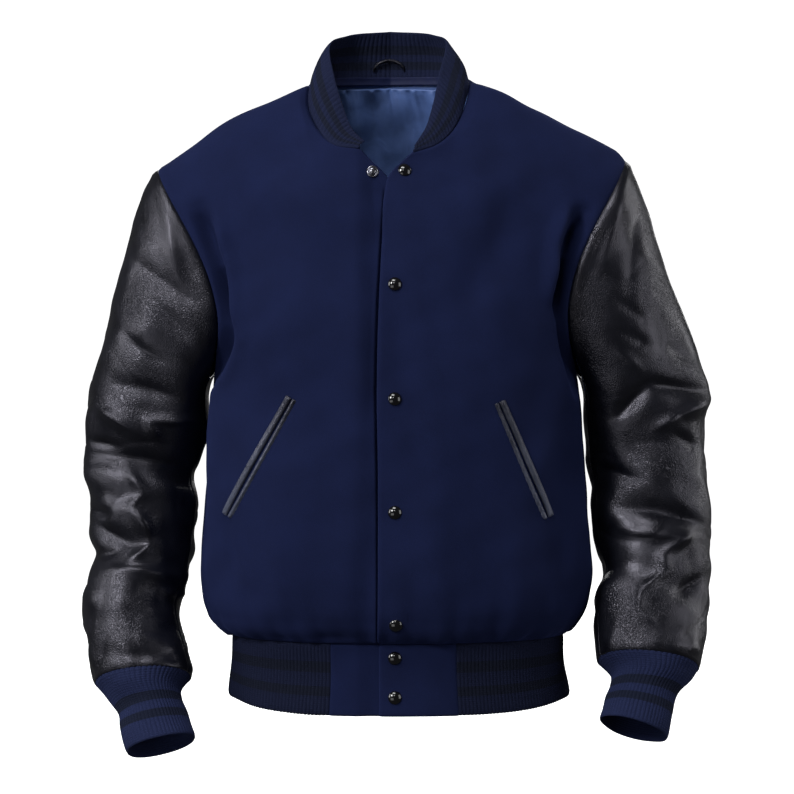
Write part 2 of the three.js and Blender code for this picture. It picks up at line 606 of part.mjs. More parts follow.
// Ribbed wall: fine outer columns raised rib by rib, plain inner columns, rows between two edges.
// The surface gives a point and its outward normal for a part along and a part up.
function ribbedGeometry(surface, ribs, plainColumns, rows, thick, closed, flip) {
  const fine = ribs * 2;
  const solid = new Solid();
  const grid = (columns, lift) => {
    const lines = [];
    for (let i = 0; i < columns + (closed ? 0 : 1); i += 1) {
      const line = [];
      for (let j = 0; j <= rows; j += 1) {
        const { point, normal } = surface(i / columns, j / rows);
        line.push(solid.point(moved(point, normal, lift(i))));
      }
      lines.push(line);
    }
    if (closed) lines.push(lines[0]);
    return lines;
  };
  const outer = grid(fine, (i) => (i % 2 ? 0 : -RIB_HEIGHT));
  const inner = grid(plainColumns, () => -thick);
  for (let j = 0; j < rows; j += 1) {
    for (let i = 0; i < fine; i += 1) {
      solid.quad(outer[i][j], outer[i + 1][j], outer[i + 1][j + 1], outer[i][j + 1]);
    }
    for (let i = 0; i < plainColumns; i += 1) {
      solid.quad(inner[i][j + 1], inner[i + 1][j + 1], inner[i + 1][j], inner[i][j]);
    }
    if (!closed) {
      solid.quad(outer[0][j], outer[0][j + 1], inner[0][j + 1], inner[0][j]);
      solid.quad(outer[fine][j + 1], outer[fine][j], inner[plainColumns][j], inner[plainColumns][j + 1]);
    }
  }
  for (const row of [0, rows]) {
    let k = 0;
    for (let i = 0; i < fine; i += 1) {
      const a = outer[i][row];
      const b = outer[i + 1][row];
      const c = inner[k][row];
      solid.triangles.push(row ? [a, b, c] : [b, a, c]);
      while (k < plainColumns && (k + 0.5) / plainColumns <= (i + 1) / fine) {
        const d = inner[k + 1][row];
        solid.triangles.push(row ? [b, d, inner[k][row]] : [d, b, inner[k][row]]);
        k += 1;
      }
    }
  }
  return solid.geometry(flip);
}

// Hanger loop as shares of the collar's length and height, and its distance from the knit
const LOOP = { steps: 14, centre: 0.497, half: 0.037, foot: 0.2, rise: 0.2, width: 0.05, clear: 0.6 };

// Adds one named piece with its finish
const jacket = new THREE.Group();

function addPiece(name, geometry, finish) {
  const mesh = new THREE.Mesh(geometry, new THREE.MeshStandardMaterial(FINISHES[finish]));
  mesh.name = name;
  jacket.add(mesh);
  return mesh;
}

// How deep the underlap is tucked below the top layer at x, deeper above the armpits
const tuck = (x, z) => UNDERLAP_DEPTH * ease(...UNDERLAP_X, x) * (1 + ease(...UNDERLAP_Z, z));

// Front panel of one side
function frontSheet(side) {
  const rows = BODY_ROWS + ARMHOLE_STEPS;
  const grid = makeGrid(FRONT_COLUMNS, rows, (i, j) => {
    const point = panelPoint(side, -1, i, j);
    const tucked = side === 'right' && i < FRONT_COLUMNS - UNTUCKED_COLUMNS;
    if (tucked) point[1] += tuck(point[0], point[2]);
    return point;
  });
  return makeSheet(`front_${side}`, grid, sideSign(side), WOOL, 'wool', BODY_FOLDS, 1);
}

// Back panel from the right side seam to the left one
function backSheet() {
  const rows = BODY_ROWS + ARMHOLE_STEPS;
  const grid = makeGrid(FRONT_COLUMNS * 2, rows, (i, j) => {
    const side = i < FRONT_COLUMNS ? 'right' : 'left';
    return panelPoint(side, 1, Math.abs(FRONT_COLUMNS - i), j);
  });
  return makeSheet('back', grid, -1, WOOL, 'wool', BODY_FOLDS, 1);
}

// Sleeve columns go round from the armpit: front steps, then back steps
function sleeveSheet(side, name, first, count) {
  const table = SLEEVES[side];
  const length = table[table.length - 1].drop;
  const grid = makeGrid(count, SLEEVE_ROWS, (i, j) => {
    const turn = first + i;
    const face = turn <= ARMHOLE_STEPS ? -1 : 1;
    const steps = turn <= ARMHOLE_STEPS ? turn : 2 * ARMHOLE_STEPS - turn;
    const angle = Math.PI * Math.abs(steps) / ARMHOLE_STEPS;
    const behind = turn < 0 ? 1 : face;
    const drop = length * (j / SLEEVE_ROWS) ** SLEEVE_CROWDING;
    return tubePoint(table, side, behind, angle, drop);
  });
  const sign = sideSign(side);
  return makeSheet(`sleeve_${side}_${name}`, grid, sign, LEATHER, 'leather', SLEEVE_FOLDS[side], sign);
}

// Ends of the sleeves and hem edges keep their wall in the plane of the edge
function flattenEnd(sheet, row, axis) {
  sheet.grid.forEach((line, i) => {
    const normal = sheet.normals[i][row];
    sheet.normals[i][row] = unit(moved(normal, axis, -dot(normal, axis)));
  });
}

// Direction of a sleeve's last section, pointing out of the sleeve
function sleeveEndAxis(side) {
  const table = SLEEVES[side];
  const row = table[table.length - 1];
  const middle = tubePoint(table, side, -1, Math.PI / 2, row.drop);
  const outer = tubePoint(table, side, -1, 0, row.drop);
  const inner = tubePoint(table, side, -1, Math.PI, row.drop);
  const axis = unit(cross(minus(outer, inner), minus(middle, inner)));
  return axis[2] < 0 ? axis : axis.map((value) => -value);
}

// Cuff: a ribbed tube that starts a seam's gap below the leather
function addCuff(side) {
  const table = CUFFS[side];
  const length = table[table.length - 1].drop;
  const away = sleeveEndAxis(side);
  const surface = (part, up) => {
    const at = (turn, drop) => {
      const angle = 2 * Math.PI * turn;
      const wrapped = Math.acos(Math.cos(angle));
      return tubePoint(table, side, Math.sin(angle) >= 0 ? -1 : 1, wrapped, drop);
    };
    const drop = length * (1 - up);
    const point = at(part, drop);
    const round = minus(at(part + NEAR, drop), at(part - NEAR, drop));
    const normal = unit(cross(round, away).map((value) => value * sideSign(side)));
    return { point: moved(point, away, CUFF_GAP), normal };
  };
  const flip = side === 'left';
  const shape = ribbedGeometry(surface, CUFF_RIBS, CUFF_COLUMNS, CUFF_ROWS, KNIT, true, flip);
  addPiece(`cuff_${side}`, shape, 'knit');
}

// Polyline through the panels' own neck points, so the collar's foot follows their edges
function neckFoot(part) {
  const steps = NECK_COLUMNS * 4;
  const at = (index) => {
    const side = index <= steps / 2 ? 'right' : 'left';
    const way = index <= steps / 2 ? index / NECK_COLUMNS : (steps - index) / NECK_COLUMNS;
    return neckPoint(side, way, false);
  };
  const place = clamp(part, 0, 1) * steps;
  const index = Math.min(Math.floor(place), steps - 1);
  return at(index).map((value, axis) => mix(value, at(index + 1)[axis], place - index));
}

// Point of the collar: from the neck seam to its top edge with a soft outward swell
function collarPoint(part, up) {
  const way = part <= 0.5 ? part * 4 : (1 - part) * 4;
  const side = part <= 0.5 ? 'right' : 'left';
  const foot = neckFoot(part);
  const top = neckPoint(side, way, true);
  const height = Math.hypot(...minus(top, foot));
  const swell = COLLAR_SWELL * height * Math.sin(Math.PI * up);
  const middle = [COLLAR_MIDDLE.x, COLLAR_MIDDLE.y, foot[2]];
  const out = unit(minus(foot, middle));
  return foot.map((value, axis) => mix(value, top[axis], up) + out[axis] * swell);
}

function collarSurface(part, up, stepUp) {
  const before = collarPoint(Math.max(part - NEAR * 2, 0), up);
  const after = collarPoint(Math.min(part + NEAR * 2, 1), up);
  const low = collarPoint(part, Math.max(up - NEAR * 10, 0));
  const high = collarPoint(part, Math.min(up + NEAR * 10, 1));
  const rise = unit(minus(high, low));
  const normal = unit(cross(rise, minus(after, before)));
  const start = collarPoint(part, up);
  if (up > 0) return { point: start, normal };
  const level = unit([normal[0], normal[1], normal[2] * FOOT_TIP]);
  return { point: moved(start, rise, stepUp), normal: level };
}

function addCollar() {
  const surface = (part, up) => collarSurface(part, up, FOOT_GAP);
  const shape = ribbedGeometry(surface, COLLAR_RIBS, COLLAR_COLUMNS, COLLAR_ROWS, KNIT, false, true);
  addPiece('collar', shape, 'knit');
}

// A place inside the collar, moved in from its plain inner facets
function insideCollar(part, up, depth) {
  const i = Math.min(Math.floor(part * COLLAR_COLUMNS + TINY), COLLAR_COLUMNS - 1);
  const j = Math.min(Math.floor(up * COLLAR_ROWS + TINY), COLLAR_ROWS - 1);
  const corner = (a, b) => {
    const { point, normal } = collarSurface((i + a) / COLLAR_COLUMNS, (j + b) / COLLAR_ROWS, 0);
    return moved(point, normal, -(KNIT + depth));
  };
  const across = part * COLLAR_COLUMNS - i;
  const above = up * COLLAR_ROWS - j;
  const low = corner(0, 0).map((value, axis) => mix(value, corner(1, 0)[axis], across));
  const high = corner(0, 1).map((value, axis) => mix(value, corner(1, 1)[axis], across));
  return low.map((value, axis) => mix(value, high[axis], above));
}

// Bottom of the hem band, a little lower at the front
function bandPoint(x, face, up) {
  const z = mix(BAND_BOTTOM_Z, HEM_SEAM_Z, up);
  const point = sectionPoint(BAND, face, x, z);
  const front = ease(BAND_SIDE_Y, BAND_FRONT_Y, point[1]);
  point[2] -= BAND_DROOP * front * (1 - up);
  return point;
}

// Hem rib: round the back from one tab to the other, even steps along its length
function bandRoute() {
  const halves = [
    { side: 'right', start: TAB_END.right },
    { side: 'left', start: TAB_END.left },
  ];
  const turns = halves.map(({ side, start }) => {
    const half = column(BAND, 'z', HEM_SEAM_Z, side);
    const places = [];
    const first = Math.asin((Math.abs(start) / half) ** (BODY_ROUND / 2));
    for (let k = 0; k <= BAND_STEPS; k += 1) {
      places.push(mix(first, Math.PI, k / BAND_STEPS));
    }
    return places.map((angle) => ({ side, angle }));
  });
  return [...turns[0], ...turns[1].reverse().slice(1)];
}

function ribBandSurface() {
  const route = bandRoute();
  const at = ({ side, angle }, up) => {
    const z = mix(BAND_BOTTOM_Z, HEM_SEAM_Z, up);
    const half = column(BAND, 'z', z, side);
    const x = sideSign(side) * half * Math.sin(angle) ** (2 / BODY_ROUND);
    return bandPoint(angle > Math.PI - TINY ? 0 : x, angle < Math.PI / 2 ? -1 : 1, up);
  };
  const run = [0];
  for (let k = 1; k < route.length; k += 1) {
    run.push(run[k - 1] + Math.hypot(...minus(at(route[k], 0.5), at(route[k - 1], 0.5))));
  }
  const total = run[run.length - 1];
  const place = (part, up) => {
    const want = clamp(part, 0, 1) * total;
    let k = 0;
    while (k < run.length - 2 && run[k + 1] < want) k += 1;
    const between = (want - run[k]) / (run[k + 1] - run[k] || 1);
    const from = at(route[k], up);
    const to = at(route[k + 1], up);
    return from.map((value, axis) => mix(value, to[axis], between));
  };
  const surface = (part, up) => {
    const along = minus(place(part + NEAR, up), place(part - NEAR, up));
    const normal = unit([along[1], -along[0], 0]);
    const point = place(part, up);
    if (up === 1) point[2] -= SEAM_GAP;
    return { point, normal: normal.map((value) => -value) };
  };
  return { surface, total };
}

function addHemRib() {
  const { surface, total } = ribBandSurface();
  const ribs = Math.round(total / RIB_PITCH);
  addPiece('hem_rib', ribbedGeometry(surface, ribs, BAND_COLUMNS, 1, KNIT, false, true), 'knit');
}

// Wool tabs at the front of the hem band
function tabSheet(side) {
  const sign = sideSign(side);
  const inner = -sign * TAB_REACH;
  const grid = makeGrid(TAB_COLUMNS, TAB_ROWS, (i, j) => {
    const up = j / TAB_ROWS;
    const half = (z) => column(BAND, 'z', z, side);
    const flare = half(mix(BAND_BOTTOM_Z, HEM_SEAM_Z, up)) / half(HEM_SEAM_Z);
    const end = (TAB_END[side] - sign * SEAM_GAP) * flare;
    const x = mix(inner, end, i / TAB_COLUMNS);
    const point = bandPoint(x, -1, up);
    if (side === 'right') point[1] += tuck(x, point[2]);
    if (j === TAB_ROWS) point[2] -= SEAM_GAP;
    return point;
  });
  return makeSheet(`hem_tab_${side}`, grid, sign, WOOL, 'wool');
}

// Height and normal of a faceted sheet under a point seen from the front
function restOn(sheets, x, z) {
  for (const { grid } of sheets) {
    for (let i = 0; i < grid.length - 1; i += 1) {
      for (let j = 0; j < grid[0].length - 1; j += 1) {
        const corners = [grid[i][j], grid[i + 1][j], grid[i + 1][j + 1], grid[i][j + 1]];
        for (const [a, b, c] of [[0, 1, 2], [0, 2, 3]].map((set) => set.map((k) => corners[k]))) {
          const area = (b[0] - a[0]) * (c[2] - a[2]) - (c[0] - a[0]) * (b[2] - a[2]);
          const s = ((x - a[0]) * (c[2] - a[2]) - (c[0] - a[0]) * (z - a[2])) / area;
          const t = ((b[0] - a[0]) * (z - a[2]) - (x - a[0]) * (b[2] - a[2])) / area;
          if (s >= -TINY && t >= -TINY && s + t <= 1 + TINY) {
            const y = a[1] + s * (b[1] - a[1]) + t * (c[1] - a[1]);
            const normal = unit(cross(minus(b, a), minus(c, a)));
            return { point: [x, y, z], normal: normal[1] > 0 ? normal.map((v) => -v) : normal };
          }
        }
      }
    }
  }
  return null;
}

// Domed cap of a snap, turned to the cloth under it
function addSnap(name, sheets, place, profile, finish, clear) {
  const { point } = restOn(sheets, place.x, place.z);
    const beside = (dx, dz) => (restOn(sheets, place.x + dx, place.z + dz) || { point }).point;
  const across = minus(beside(CAP_RADIUS, 0), beside(-CAP_RADIUS, 0));
  const upwards = minus(beside(0, CAP_RADIUS), beside(0, -CAP_RADIUS));
  const normal = unit(cross(across, upwards));
  const shape = new THREE.LatheGeometry(profile.map(([r, h]) => new THREE.Vector2(r, h)), SNAP_SIDES);
  const mesh = addPiece(name, shape, finish);
  const samples = [];
  for (let k = 0; k < SNAP_SIDES; k += 1) {
    const angle = 2 * Math.PI * k / SNAP_SIDES;
    samples.push(beside(CAP_RADIUS * Math.cos(angle), CAP_RADIUS * Math.sin(angle)));
  }
  const lift = Math.max(0, ...samples.map((sample) => dot(minus(sample, point), normal))) + clear;
  mesh.position.set(...moved(point, normal, lift));
  mesh.quaternion.setFromUnitVectors(new THREE.Vector3(0, 1, 0), new THREE.Vector3(...normal));
}

// Profiles of the cap and the stud: radius and height from the cloth
const CAP_PROFILE = [
  [0, 0], [CAP_RADIUS * 0.94, 0], [CAP_RADIUS, 0.6], [CAP_RADIUS * 0.9, 1.6],
  [CAP_RADIUS * 0.55, CAP_HEIGHT * 0.9], [0, CAP_HEIGHT],
];
const STUD_PROFILE = [
  [0, 0], [6, 0], [6.2, 0.5], [5.8, 1.1], [4.2, 1.3], [3.4, 1.2], [3.2, 2.6], [2.6, 3.4], [0, 3.7],
];

// A welt: a narrow leather strip along the pocket's slit, lying on the front
function addWelt(side, name, sheet, offset) {
  const slit = POCKETS[side];
  const length = Math.hypot(slit.x1 - slit.x0, slit.z1 - slit.z0);
  const run = [(slit.x1 - slit.x0) / length, (slit.z1 - slit.z0) / length];
  const aside = [-run[1] * sideSign(side), run[0] * sideSign(side)];
  const grid = makeGrid(2, WELT_STEPS, (i, j) => {
    const along = length * j / WELT_STEPS;
    const out = offset + (i - 1) * WELT_WIDTH / 2;
    const x = slit.x0 + run[0] * along + aside[0] * out;
    const z = slit.z0 + run[1] * along + aside[1] * out;
    const { point, normal } = restOn([sheet], x, z);
    const crown = i === 1 ? WELT_CROWN : 0;
    return moved(point, normal, LAY_GAP + WELT_LIFT + WELT_THICK + crown);
  });
  const facing = gridNormals(grid, 1)[1][1][1] < 0 ? 1 : -1;
  const welt = makeSheet(`pocket_welt_${side}_${name}`, grid, facing, WELT_THICK, 'leather');
  addPiece(welt.name, sheetGeometry(welt), 'leather');
}

// Back lining: the back panel's own upper grid moved in under its wall
function addLining(back) {
  const first = LINING_INSET;
  const count = FRONT_COLUMNS * 2 - first * 2;
  const bottom = BODY_ROWS + LINING_START;
  const rows = ARMHOLE_STEPS - LINING_START - 1;
  const grid = makeGrid(count, rows, (i, j) => {
    const normal = back.normals[first + i][bottom + j];
    return moved(back.grid[first + i][bottom + j], normal, -(WOOL + LAY_GAP));
  });
  const lining = makeSheet('lining_back', grid, -1, SATIN, 'satin');
  lining.normals = lining.normals.map((line, i) => line.map((own, j) => (
    back.normals[first + i][bottom + j])));
  addPiece(lining.name, sheetGeometry(lining), 'satin');
}

// Neck tape: a narrow strip over the collar seam, on the inside across the back
function addNeckTape() {
  const first = NECK_COLUMNS + 1;
  const count = 4 * NECK_COLUMNS - 2 * first;
  const grid = makeGrid(count, 1, (i, j) => {
    const part = (first + i) / (4 * NECK_COLUMNS);
    const { point, normal } = collarSurface(part, 0, 0);
    const level = unit([normal[0], normal[1], 0]);
    const inside = moved(point, level, -(KNIT + TAPE_CLEAR));
    return [inside[0], inside[1], inside[2] + mix(-TAPE_WIDTH / 2, TAPE_WIDTH / 2, j)];
  });
  const tape = makeSheet('neck_tape', grid, -1, SATIN, 'satin');
  addPiece(tape.name, sheetGeometry(tape), 'satin');
}

// Hanger loop: a thin leather arch inside the collar at the centre back
function addHangerLoop() {
  const { steps, centre, half, foot, rise, width, clear } = LOOP;
  const grid = makeGrid(steps, 1, (i, j) => {
    const angle = Math.PI * i / steps;
    const part = centre - half * Math.cos(angle);
    return insideCollar(part, foot + rise * Math.sin(angle) + j * width, clear);
  });
  const loop = makeSheet('hanger_loop', grid, -1, LOOP_THICK, 'leather');
  addPiece(loop.name, sheetGeometry(loop), 'leather');
}

// Sheets of the shell, matched at their seams and then made solid
const frontRight = frontSheet('right');
const frontLeft = frontSheet('left');
const back = backSheet();
const upperSteps = FRONT_SLEEVE_SEAM + BACK_SLEEVE_SEAM;
const underSteps = 2 * ARMHOLE_STEPS - upperSteps;
const sleeves = ['right', 'left'].flatMap((side) => [
  sleeveSheet(side, 'upper', -BACK_SLEEVE_SEAM, upperSteps),
  sleeveSheet(side, 'under', FRONT_SLEEVE_SEAM, underSteps),
]);
const shell = [frontRight, frontLeft, back, ...sleeves];
matchSeams(shell);
for (const sheet of [frontRight, frontLeft, back]) flattenEnd(sheet, 0, [0, 0, 1]);
for (const sheet of sleeves) {
  flattenEnd(sheet, SLEEVE_ROWS, sleeveEndAxis(sheet.name.includes('right') ? 'right' : 'left'));
}
shell.forEach(pullFromSeams);
for (const sheet of shell) addPiece(sheet.name, sheetGeometry(sheet), sheet.finish);

const tabs = { right: tabSheet('right'), left: tabSheet('left') };
for (const tab of Object.values(tabs)) {
  flattenEnd(tab, TAB_ROWS, [0, 0, 1]);
  addPiece(tab.name, sheetGeometry(tab), tab.finish);
}
addHemRib();
addCollar();
addCuff('right');
addCuff('left');
addLining(back);
addNeckTape();
addHangerLoop();
for (const [side, sheet] of [['right', frontRight], ['left', frontLeft]]) {
  addWelt(side, 'outer', sheet, WELT_WIDTH / 2 + SLIT_HALF);
  addWelt(side, 'inner', sheet, -WELT_WIDTH / 2 - SLIT_HALF);
}
SNAP_CAPS.forEach((place, index) => {
  addSnap(`snap_cap_${index + 1}`, [frontLeft, tabs.left], place, CAP_PROFILE, 'gloss', LAY_GAP);
});
addSnap('snap_stud', [frontRight], SNAP_STUD, STUD_PROFILE, 'nickel', LAY_GAP);

export default jacket;
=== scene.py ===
import math

import bpy
import numpy as np
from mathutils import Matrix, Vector


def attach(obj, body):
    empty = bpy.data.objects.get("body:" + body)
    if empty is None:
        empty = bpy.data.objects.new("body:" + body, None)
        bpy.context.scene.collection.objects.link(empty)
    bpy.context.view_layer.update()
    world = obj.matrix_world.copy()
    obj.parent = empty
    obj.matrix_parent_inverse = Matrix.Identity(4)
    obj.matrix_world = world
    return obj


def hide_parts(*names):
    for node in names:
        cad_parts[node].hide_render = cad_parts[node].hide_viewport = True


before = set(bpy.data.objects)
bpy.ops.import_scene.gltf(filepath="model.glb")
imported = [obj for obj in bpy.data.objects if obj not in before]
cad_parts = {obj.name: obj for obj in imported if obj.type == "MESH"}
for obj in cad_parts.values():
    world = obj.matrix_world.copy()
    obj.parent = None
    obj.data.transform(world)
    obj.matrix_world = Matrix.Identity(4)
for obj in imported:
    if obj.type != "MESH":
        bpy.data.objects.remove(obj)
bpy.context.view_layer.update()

bl_info = {
    "name": "Varsity jacket",
    "version": (1, 0, 0),
    "blender": (4, 2, 0),
    "location": "View3D > Sidebar > Jacket",
    "description": "Builds the cloth, knit, leather and snaps of a varsity jacket, and its studio",
    "category": "Object",
}

MM = 0.001

# Heights of the body's main levels
HEM_SEAM_Z = -587.0
ARMPIT_Z = -316.0
BAND_BOTTOM_Z = -652.0
BAND_DROOP = 7.0

# Shape numbers of the body, shared with the solids
NECK_FLARE = 14.0
SHOULDER_RISE = 6.0
CHEST_SWELL = 9.0
BODY_ROUND = 2.3
SLEEVE_ROUND = 2.15
SHOULDER_PART = 5 / 11
TUCK = 3.4
NECK_MIDDLE = (-4.0, -12.0, 0.0)

# The closed fronts gape a little between their snaps, most at this height
GAPE_Z = -290.0

# Softening of a body panel's creases: how far it reaches, and its rounds
ARMPIT_REACH, ARMPIT_ROUNDS = 34.0, 90
SHOULDER_REACH, SHOULDER_ROUNDS = 0.08, 70

# The sleeve's two seams, as turns round the section from the outer line
FRONT_SEAM = math.pi * 10 / 11
BACK_SEAM = math.pi * 7 / 11


def table(names, rows):
    """Named columns of a table, sorted by the first column."""
    keys = names.split()
    cells = np.array(sorted(rows), dtype=float)
    return {"key": cells[:, 0], **{name: cells[:, k] for k, name in enumerate(keys)}}


# Body sections: half widths at the wearer's right and left, depths front and back
TORSO = table("z right left front back", [
    (-587, 177, 184, 128, 116),
    (-577, 193, 193, 139, 127),
    (-562, 201, 202, 146, 135),
    (-535, 206, 208, 151, 140),
    (-500, 207, 209, 153, 141),
    (-455, 204, 207, 152, 139),
    (-410, 199, 203, 150, 137),
    (-375, 195, 200, 149, 137),
    (-340, 194, 199, 147, 138),
    (-316, 196, 200, 145, 139),
])

# Hem band sections
BAND = table("z right left front back", [
    (-587, 174, 181, 126, 114),
    (-618, 173, 182, 125, 113),
    (-652, 177, 188, 127, 116),
])

# Where each front's edge lies at a height
FRONT_EDGES = {
    "right": table("z x", [
        (-660, 14), (-316, 14), (-150, 14), (-130, 9), (-112, -6), (-80, -37),
    ]),
    "left": table("z x", [
        (-660, -14), (-587, -15), (-420, -15), (-330, -16), (-240, -14), (-178, -11),
        (-125, -8), (-112, -5), (-84, 21),
    ]),
}

# Neck seam and the collar's top edge: way 0 at the front end, 1 at the shoulder, 2 at centre back
NECK = {
    "right": table("way x y z topX topY topZ", [
        (0, -37, -101, -80, -31, -97, -72),
        (0.25, -62, -90, -75, -44, -77, -56),
        (0.5, -78, -70, -58, -55, -56, -27),
        (0.75, -90, -40, -30, -65, -32, 7),
        (1, -90, 2, -1, -71, 3, 38),
        (1.5, -62, 48, 9, -52, 41, 59),
        (2, -4, 66, 12, -4, 57, 66),
    ]),
    "left": table("way x y z topX topY topZ", [
        (0, 21, -101, -84, 22, -97, -76),
        (0.25, 44, -90, -75, 34, -78, -54),
        (0.5, 61, -71, -58, 42, -56, -26),
        (0.75, 73, -43, -33, 49, -32, 7),
        (1, 81, 2, 1, 57, 3, 40),
        (1.5, 52, 48, 10, 44, 41, 60),
        (2, -4, 66, 12, -4, 57, 66),
    ]),
}

# Sleeve sections: outer and inner point from the front, middle and half depth from the side,
# lean forward in degrees, and how far the armhole bows towards the neck
SLEEVE_COLUMNS = "drop outX outZ inX inZ y depth lean bow"
SLEEVES = {
    "right": table(SLEEVE_COLUMNS, [
        (0, 253, -92, 196, -316, 0, 75, 0, 40),
        (12, 263, -108, 197.5, -321, 0, 75, 0, 30),
        (40, 275, -140, 199, -328, 0, 74, 0, 20),
        (85, 286, -182, 199.5, -338, 1, 72, 0, 9),
        (130, 298, -227, 199.5, -350, 3, 70, 0, 3),
        (175, 311, -272, 199, -362, 6, 68, 0, 0),
        (215, 322, -312, 199.5, -376, 9, 67, 0, 0),
        (250, 331, -348, 205, -391, 11, 66, 1, 0),
        (285, 333, -382, 212, -409, 12, 65, 3, 0),
        (318, 337, -416, 215, -428, 11, 64, 6, 0),
        (350, 330, -450, 210, -452, 8, 63, 10, 0),
        (380, 328, -482, 214, -479, 2, 61, 13, 0),
        (405, 321, -507, 215, -503, -4, 58, 16, 0),
        (430, 325, -532, 220, -528, -12, 56, 18, 0),
        (458, 328, -560, 229, -558, -23, 54, 21, 0),
        (485, 324, -587, 225, -584, -35, 52, 23, 0),
        (510, 320, -612, 217, -606, -46, 51, 25, 0),
        (533, 314, -637, 211, -627, -57, 48, 25, 0),
    ]),
    "left": table(SLEEVE_COLUMNS, [
        (0, 248, -82, 200, -316, 0, 75, 0, 46),
        (12, 257, -99, 202, -321, 0, 75, 0, 34),
        (40, 268, -130, 204, -328, 0, 74, 0, 22),
        (85, 283, -173, 205, -338, 1, 72, 0, 10),
        (130, 299, -218, 205, -350, 3, 70, 0, 3),
        (175, 317, -263, 205, -364, 6, 68, 0, 0),
        (215, 333, -304, 205, -380, 9, 67, 0, 0),
        (247, 343, -335, 206, -396, 11, 66, 1, 0),
        (282, 333, -370, 209, -412, 12, 65, 3, 0),
        (318, 337, -406, 214, -434, 11, 64, 6, 0),
        (350, 340, -440, 213, -456, 8, 63, 10, 0),
        (380, 340, -475, 215, -480, 2, 61, 13, 0),
        (405, 338, -503, 218, -501, -4, 58, 16, 0),
        (430, 337, -530, 222, -522, -12, 56, 18, 0),
        (455, 334, -556, 213, -545, -22, 54, 21, 0),
        (480, 330, -580, 212, -568, -33, 52, 23, 0),
        (502, 325, -602, 212, -590, -43, 51, 25, 0),
        (522, 321, -622, 212, -611, -52, 48, 25, 0),
    ]),
}

# Cuff sections, from the sleeve's end down
CUFF_COLUMNS = "drop outX outZ inX inZ y depth lean"
CUFFS = {
    "right": table(CUFF_COLUMNS, [
        (0, 312, -637.5, 213, -627.5, -57, 47, 25),
        (12, 300, -650, 222, -639, -63, 41, 25),
        (25, 288, -663, 222, -650, -69, 36, 25),
        (45, 283, -680, 214, -666, -77, 35, 24),
        (68, 277, -704, 204, -686, -88, 36, 24),
    ]),
    "left": table(CUFF_COLUMNS, [
        (0, 319, -622.5, 214, -611.5, -52, 47, 25),
        (12, 309, -634, 226, -624, -58, 41, 25),
        (25, 297, -646, 226, -636, -64, 36, 25),
        (45, 290, -665, 219, -650, -73, 35, 24),
        (66, 283, -689, 212, -668, -84, 36, 24),
    ]),
}

# Folds: a line on the front (-1) or back (1) seen from the front, its half width, its height
# (below zero for a trough), and how far the line bends sideways at its middle
BODY_FOLDS = [
    (-1, -202, -140, -184, -200, 10, -20, 0),
    (-1, -184, -200, -173, -262, 10, -27, 0),
    (-1, -173, -262, -186, -318, 11, -21, 0),
    (-1, -188, -149, -171, -200, 9, 9, 0),
    (-1, -171, -200, -159, -275, 9, 12, 2),
    (-1, -160, -278, -182, -328, 9, 8, 0),
    (-1, -176, -292, -186, -420, 16, 4, 0),
    (-1, 198, -145, 180, -190, 9, -20, 0),
    (-1, 180, -190, 172, -245, 9, -27, 0),
    (-1, 172, -245, 186, -322, 11, -20, 0),
    (-1, 182, -139, 166, -178, 8, 9, 0),
    (-1, 166, -178, 159, -232, 8, 12, 0),
    (-1, 159, -232, 180, -340, 9, 9, -2),
    (-1, 166, -290, 184, -400, 16, 4, 0),
    (-1, -140, -130, -50, -240, 24, -7.2, 6),
    (-1, 130, -130, 60, -250, 24, -7.2, -6),
    (-1, -150, -105, -40, -150, 20, 4.5, 4),
    (-1, 140, -100, 60, -150, 20, 3.6, -4),
    (-1, -176, -330, -120, -420, 18, 4.7, 6),
    (-1, 176, -340, 140, -430, 18, 4.7, -5),
    (-1, -60, -300, -70, -520, 26, -4, 8),
    (-1, 70, -300, 84, -520, 24, -4, -8),
    (-1, -120, -470, -110, -570, 17, 4, 3),
    (-1, 40, -440, 46, -570, 17, 3.2, 3),
    (-1, 128, -480, 120, -575, 16, 4, -3),
    (-1, -30, -480, -34, -575, 13, -3.2, 0),
    (-1, 180, -420, 176, -560, 15, -4.7, 4),
    (-1, -182, -430, -176, -560, 15, -4.7, -4),
    (1, -186, -205, -176, -350, 17, -12, 0),
    (1, 186, -205, 178, -340, 17, -12, 0),
    (1, -120, -160, -60, -300, 26, -7.2, 6),
    (1, 120, -160, 70, -290, 26, -7.2, -6),
    (1, -20, -150, -6, -330, 24, 3.6, 6),
    (1, -90, -330, -80, -560, 24, -4.3, 8),
    (1, 66, -340, 84, -560, 24, -4.3, -8),
    (1, 0, -420, 8, -575, 20, 4, 5),
    (1, -150, -420, -140, -570, 18, 4.3, 4),
    (1, 150, -400, 140, -570, 18, 4.3, -4),
]

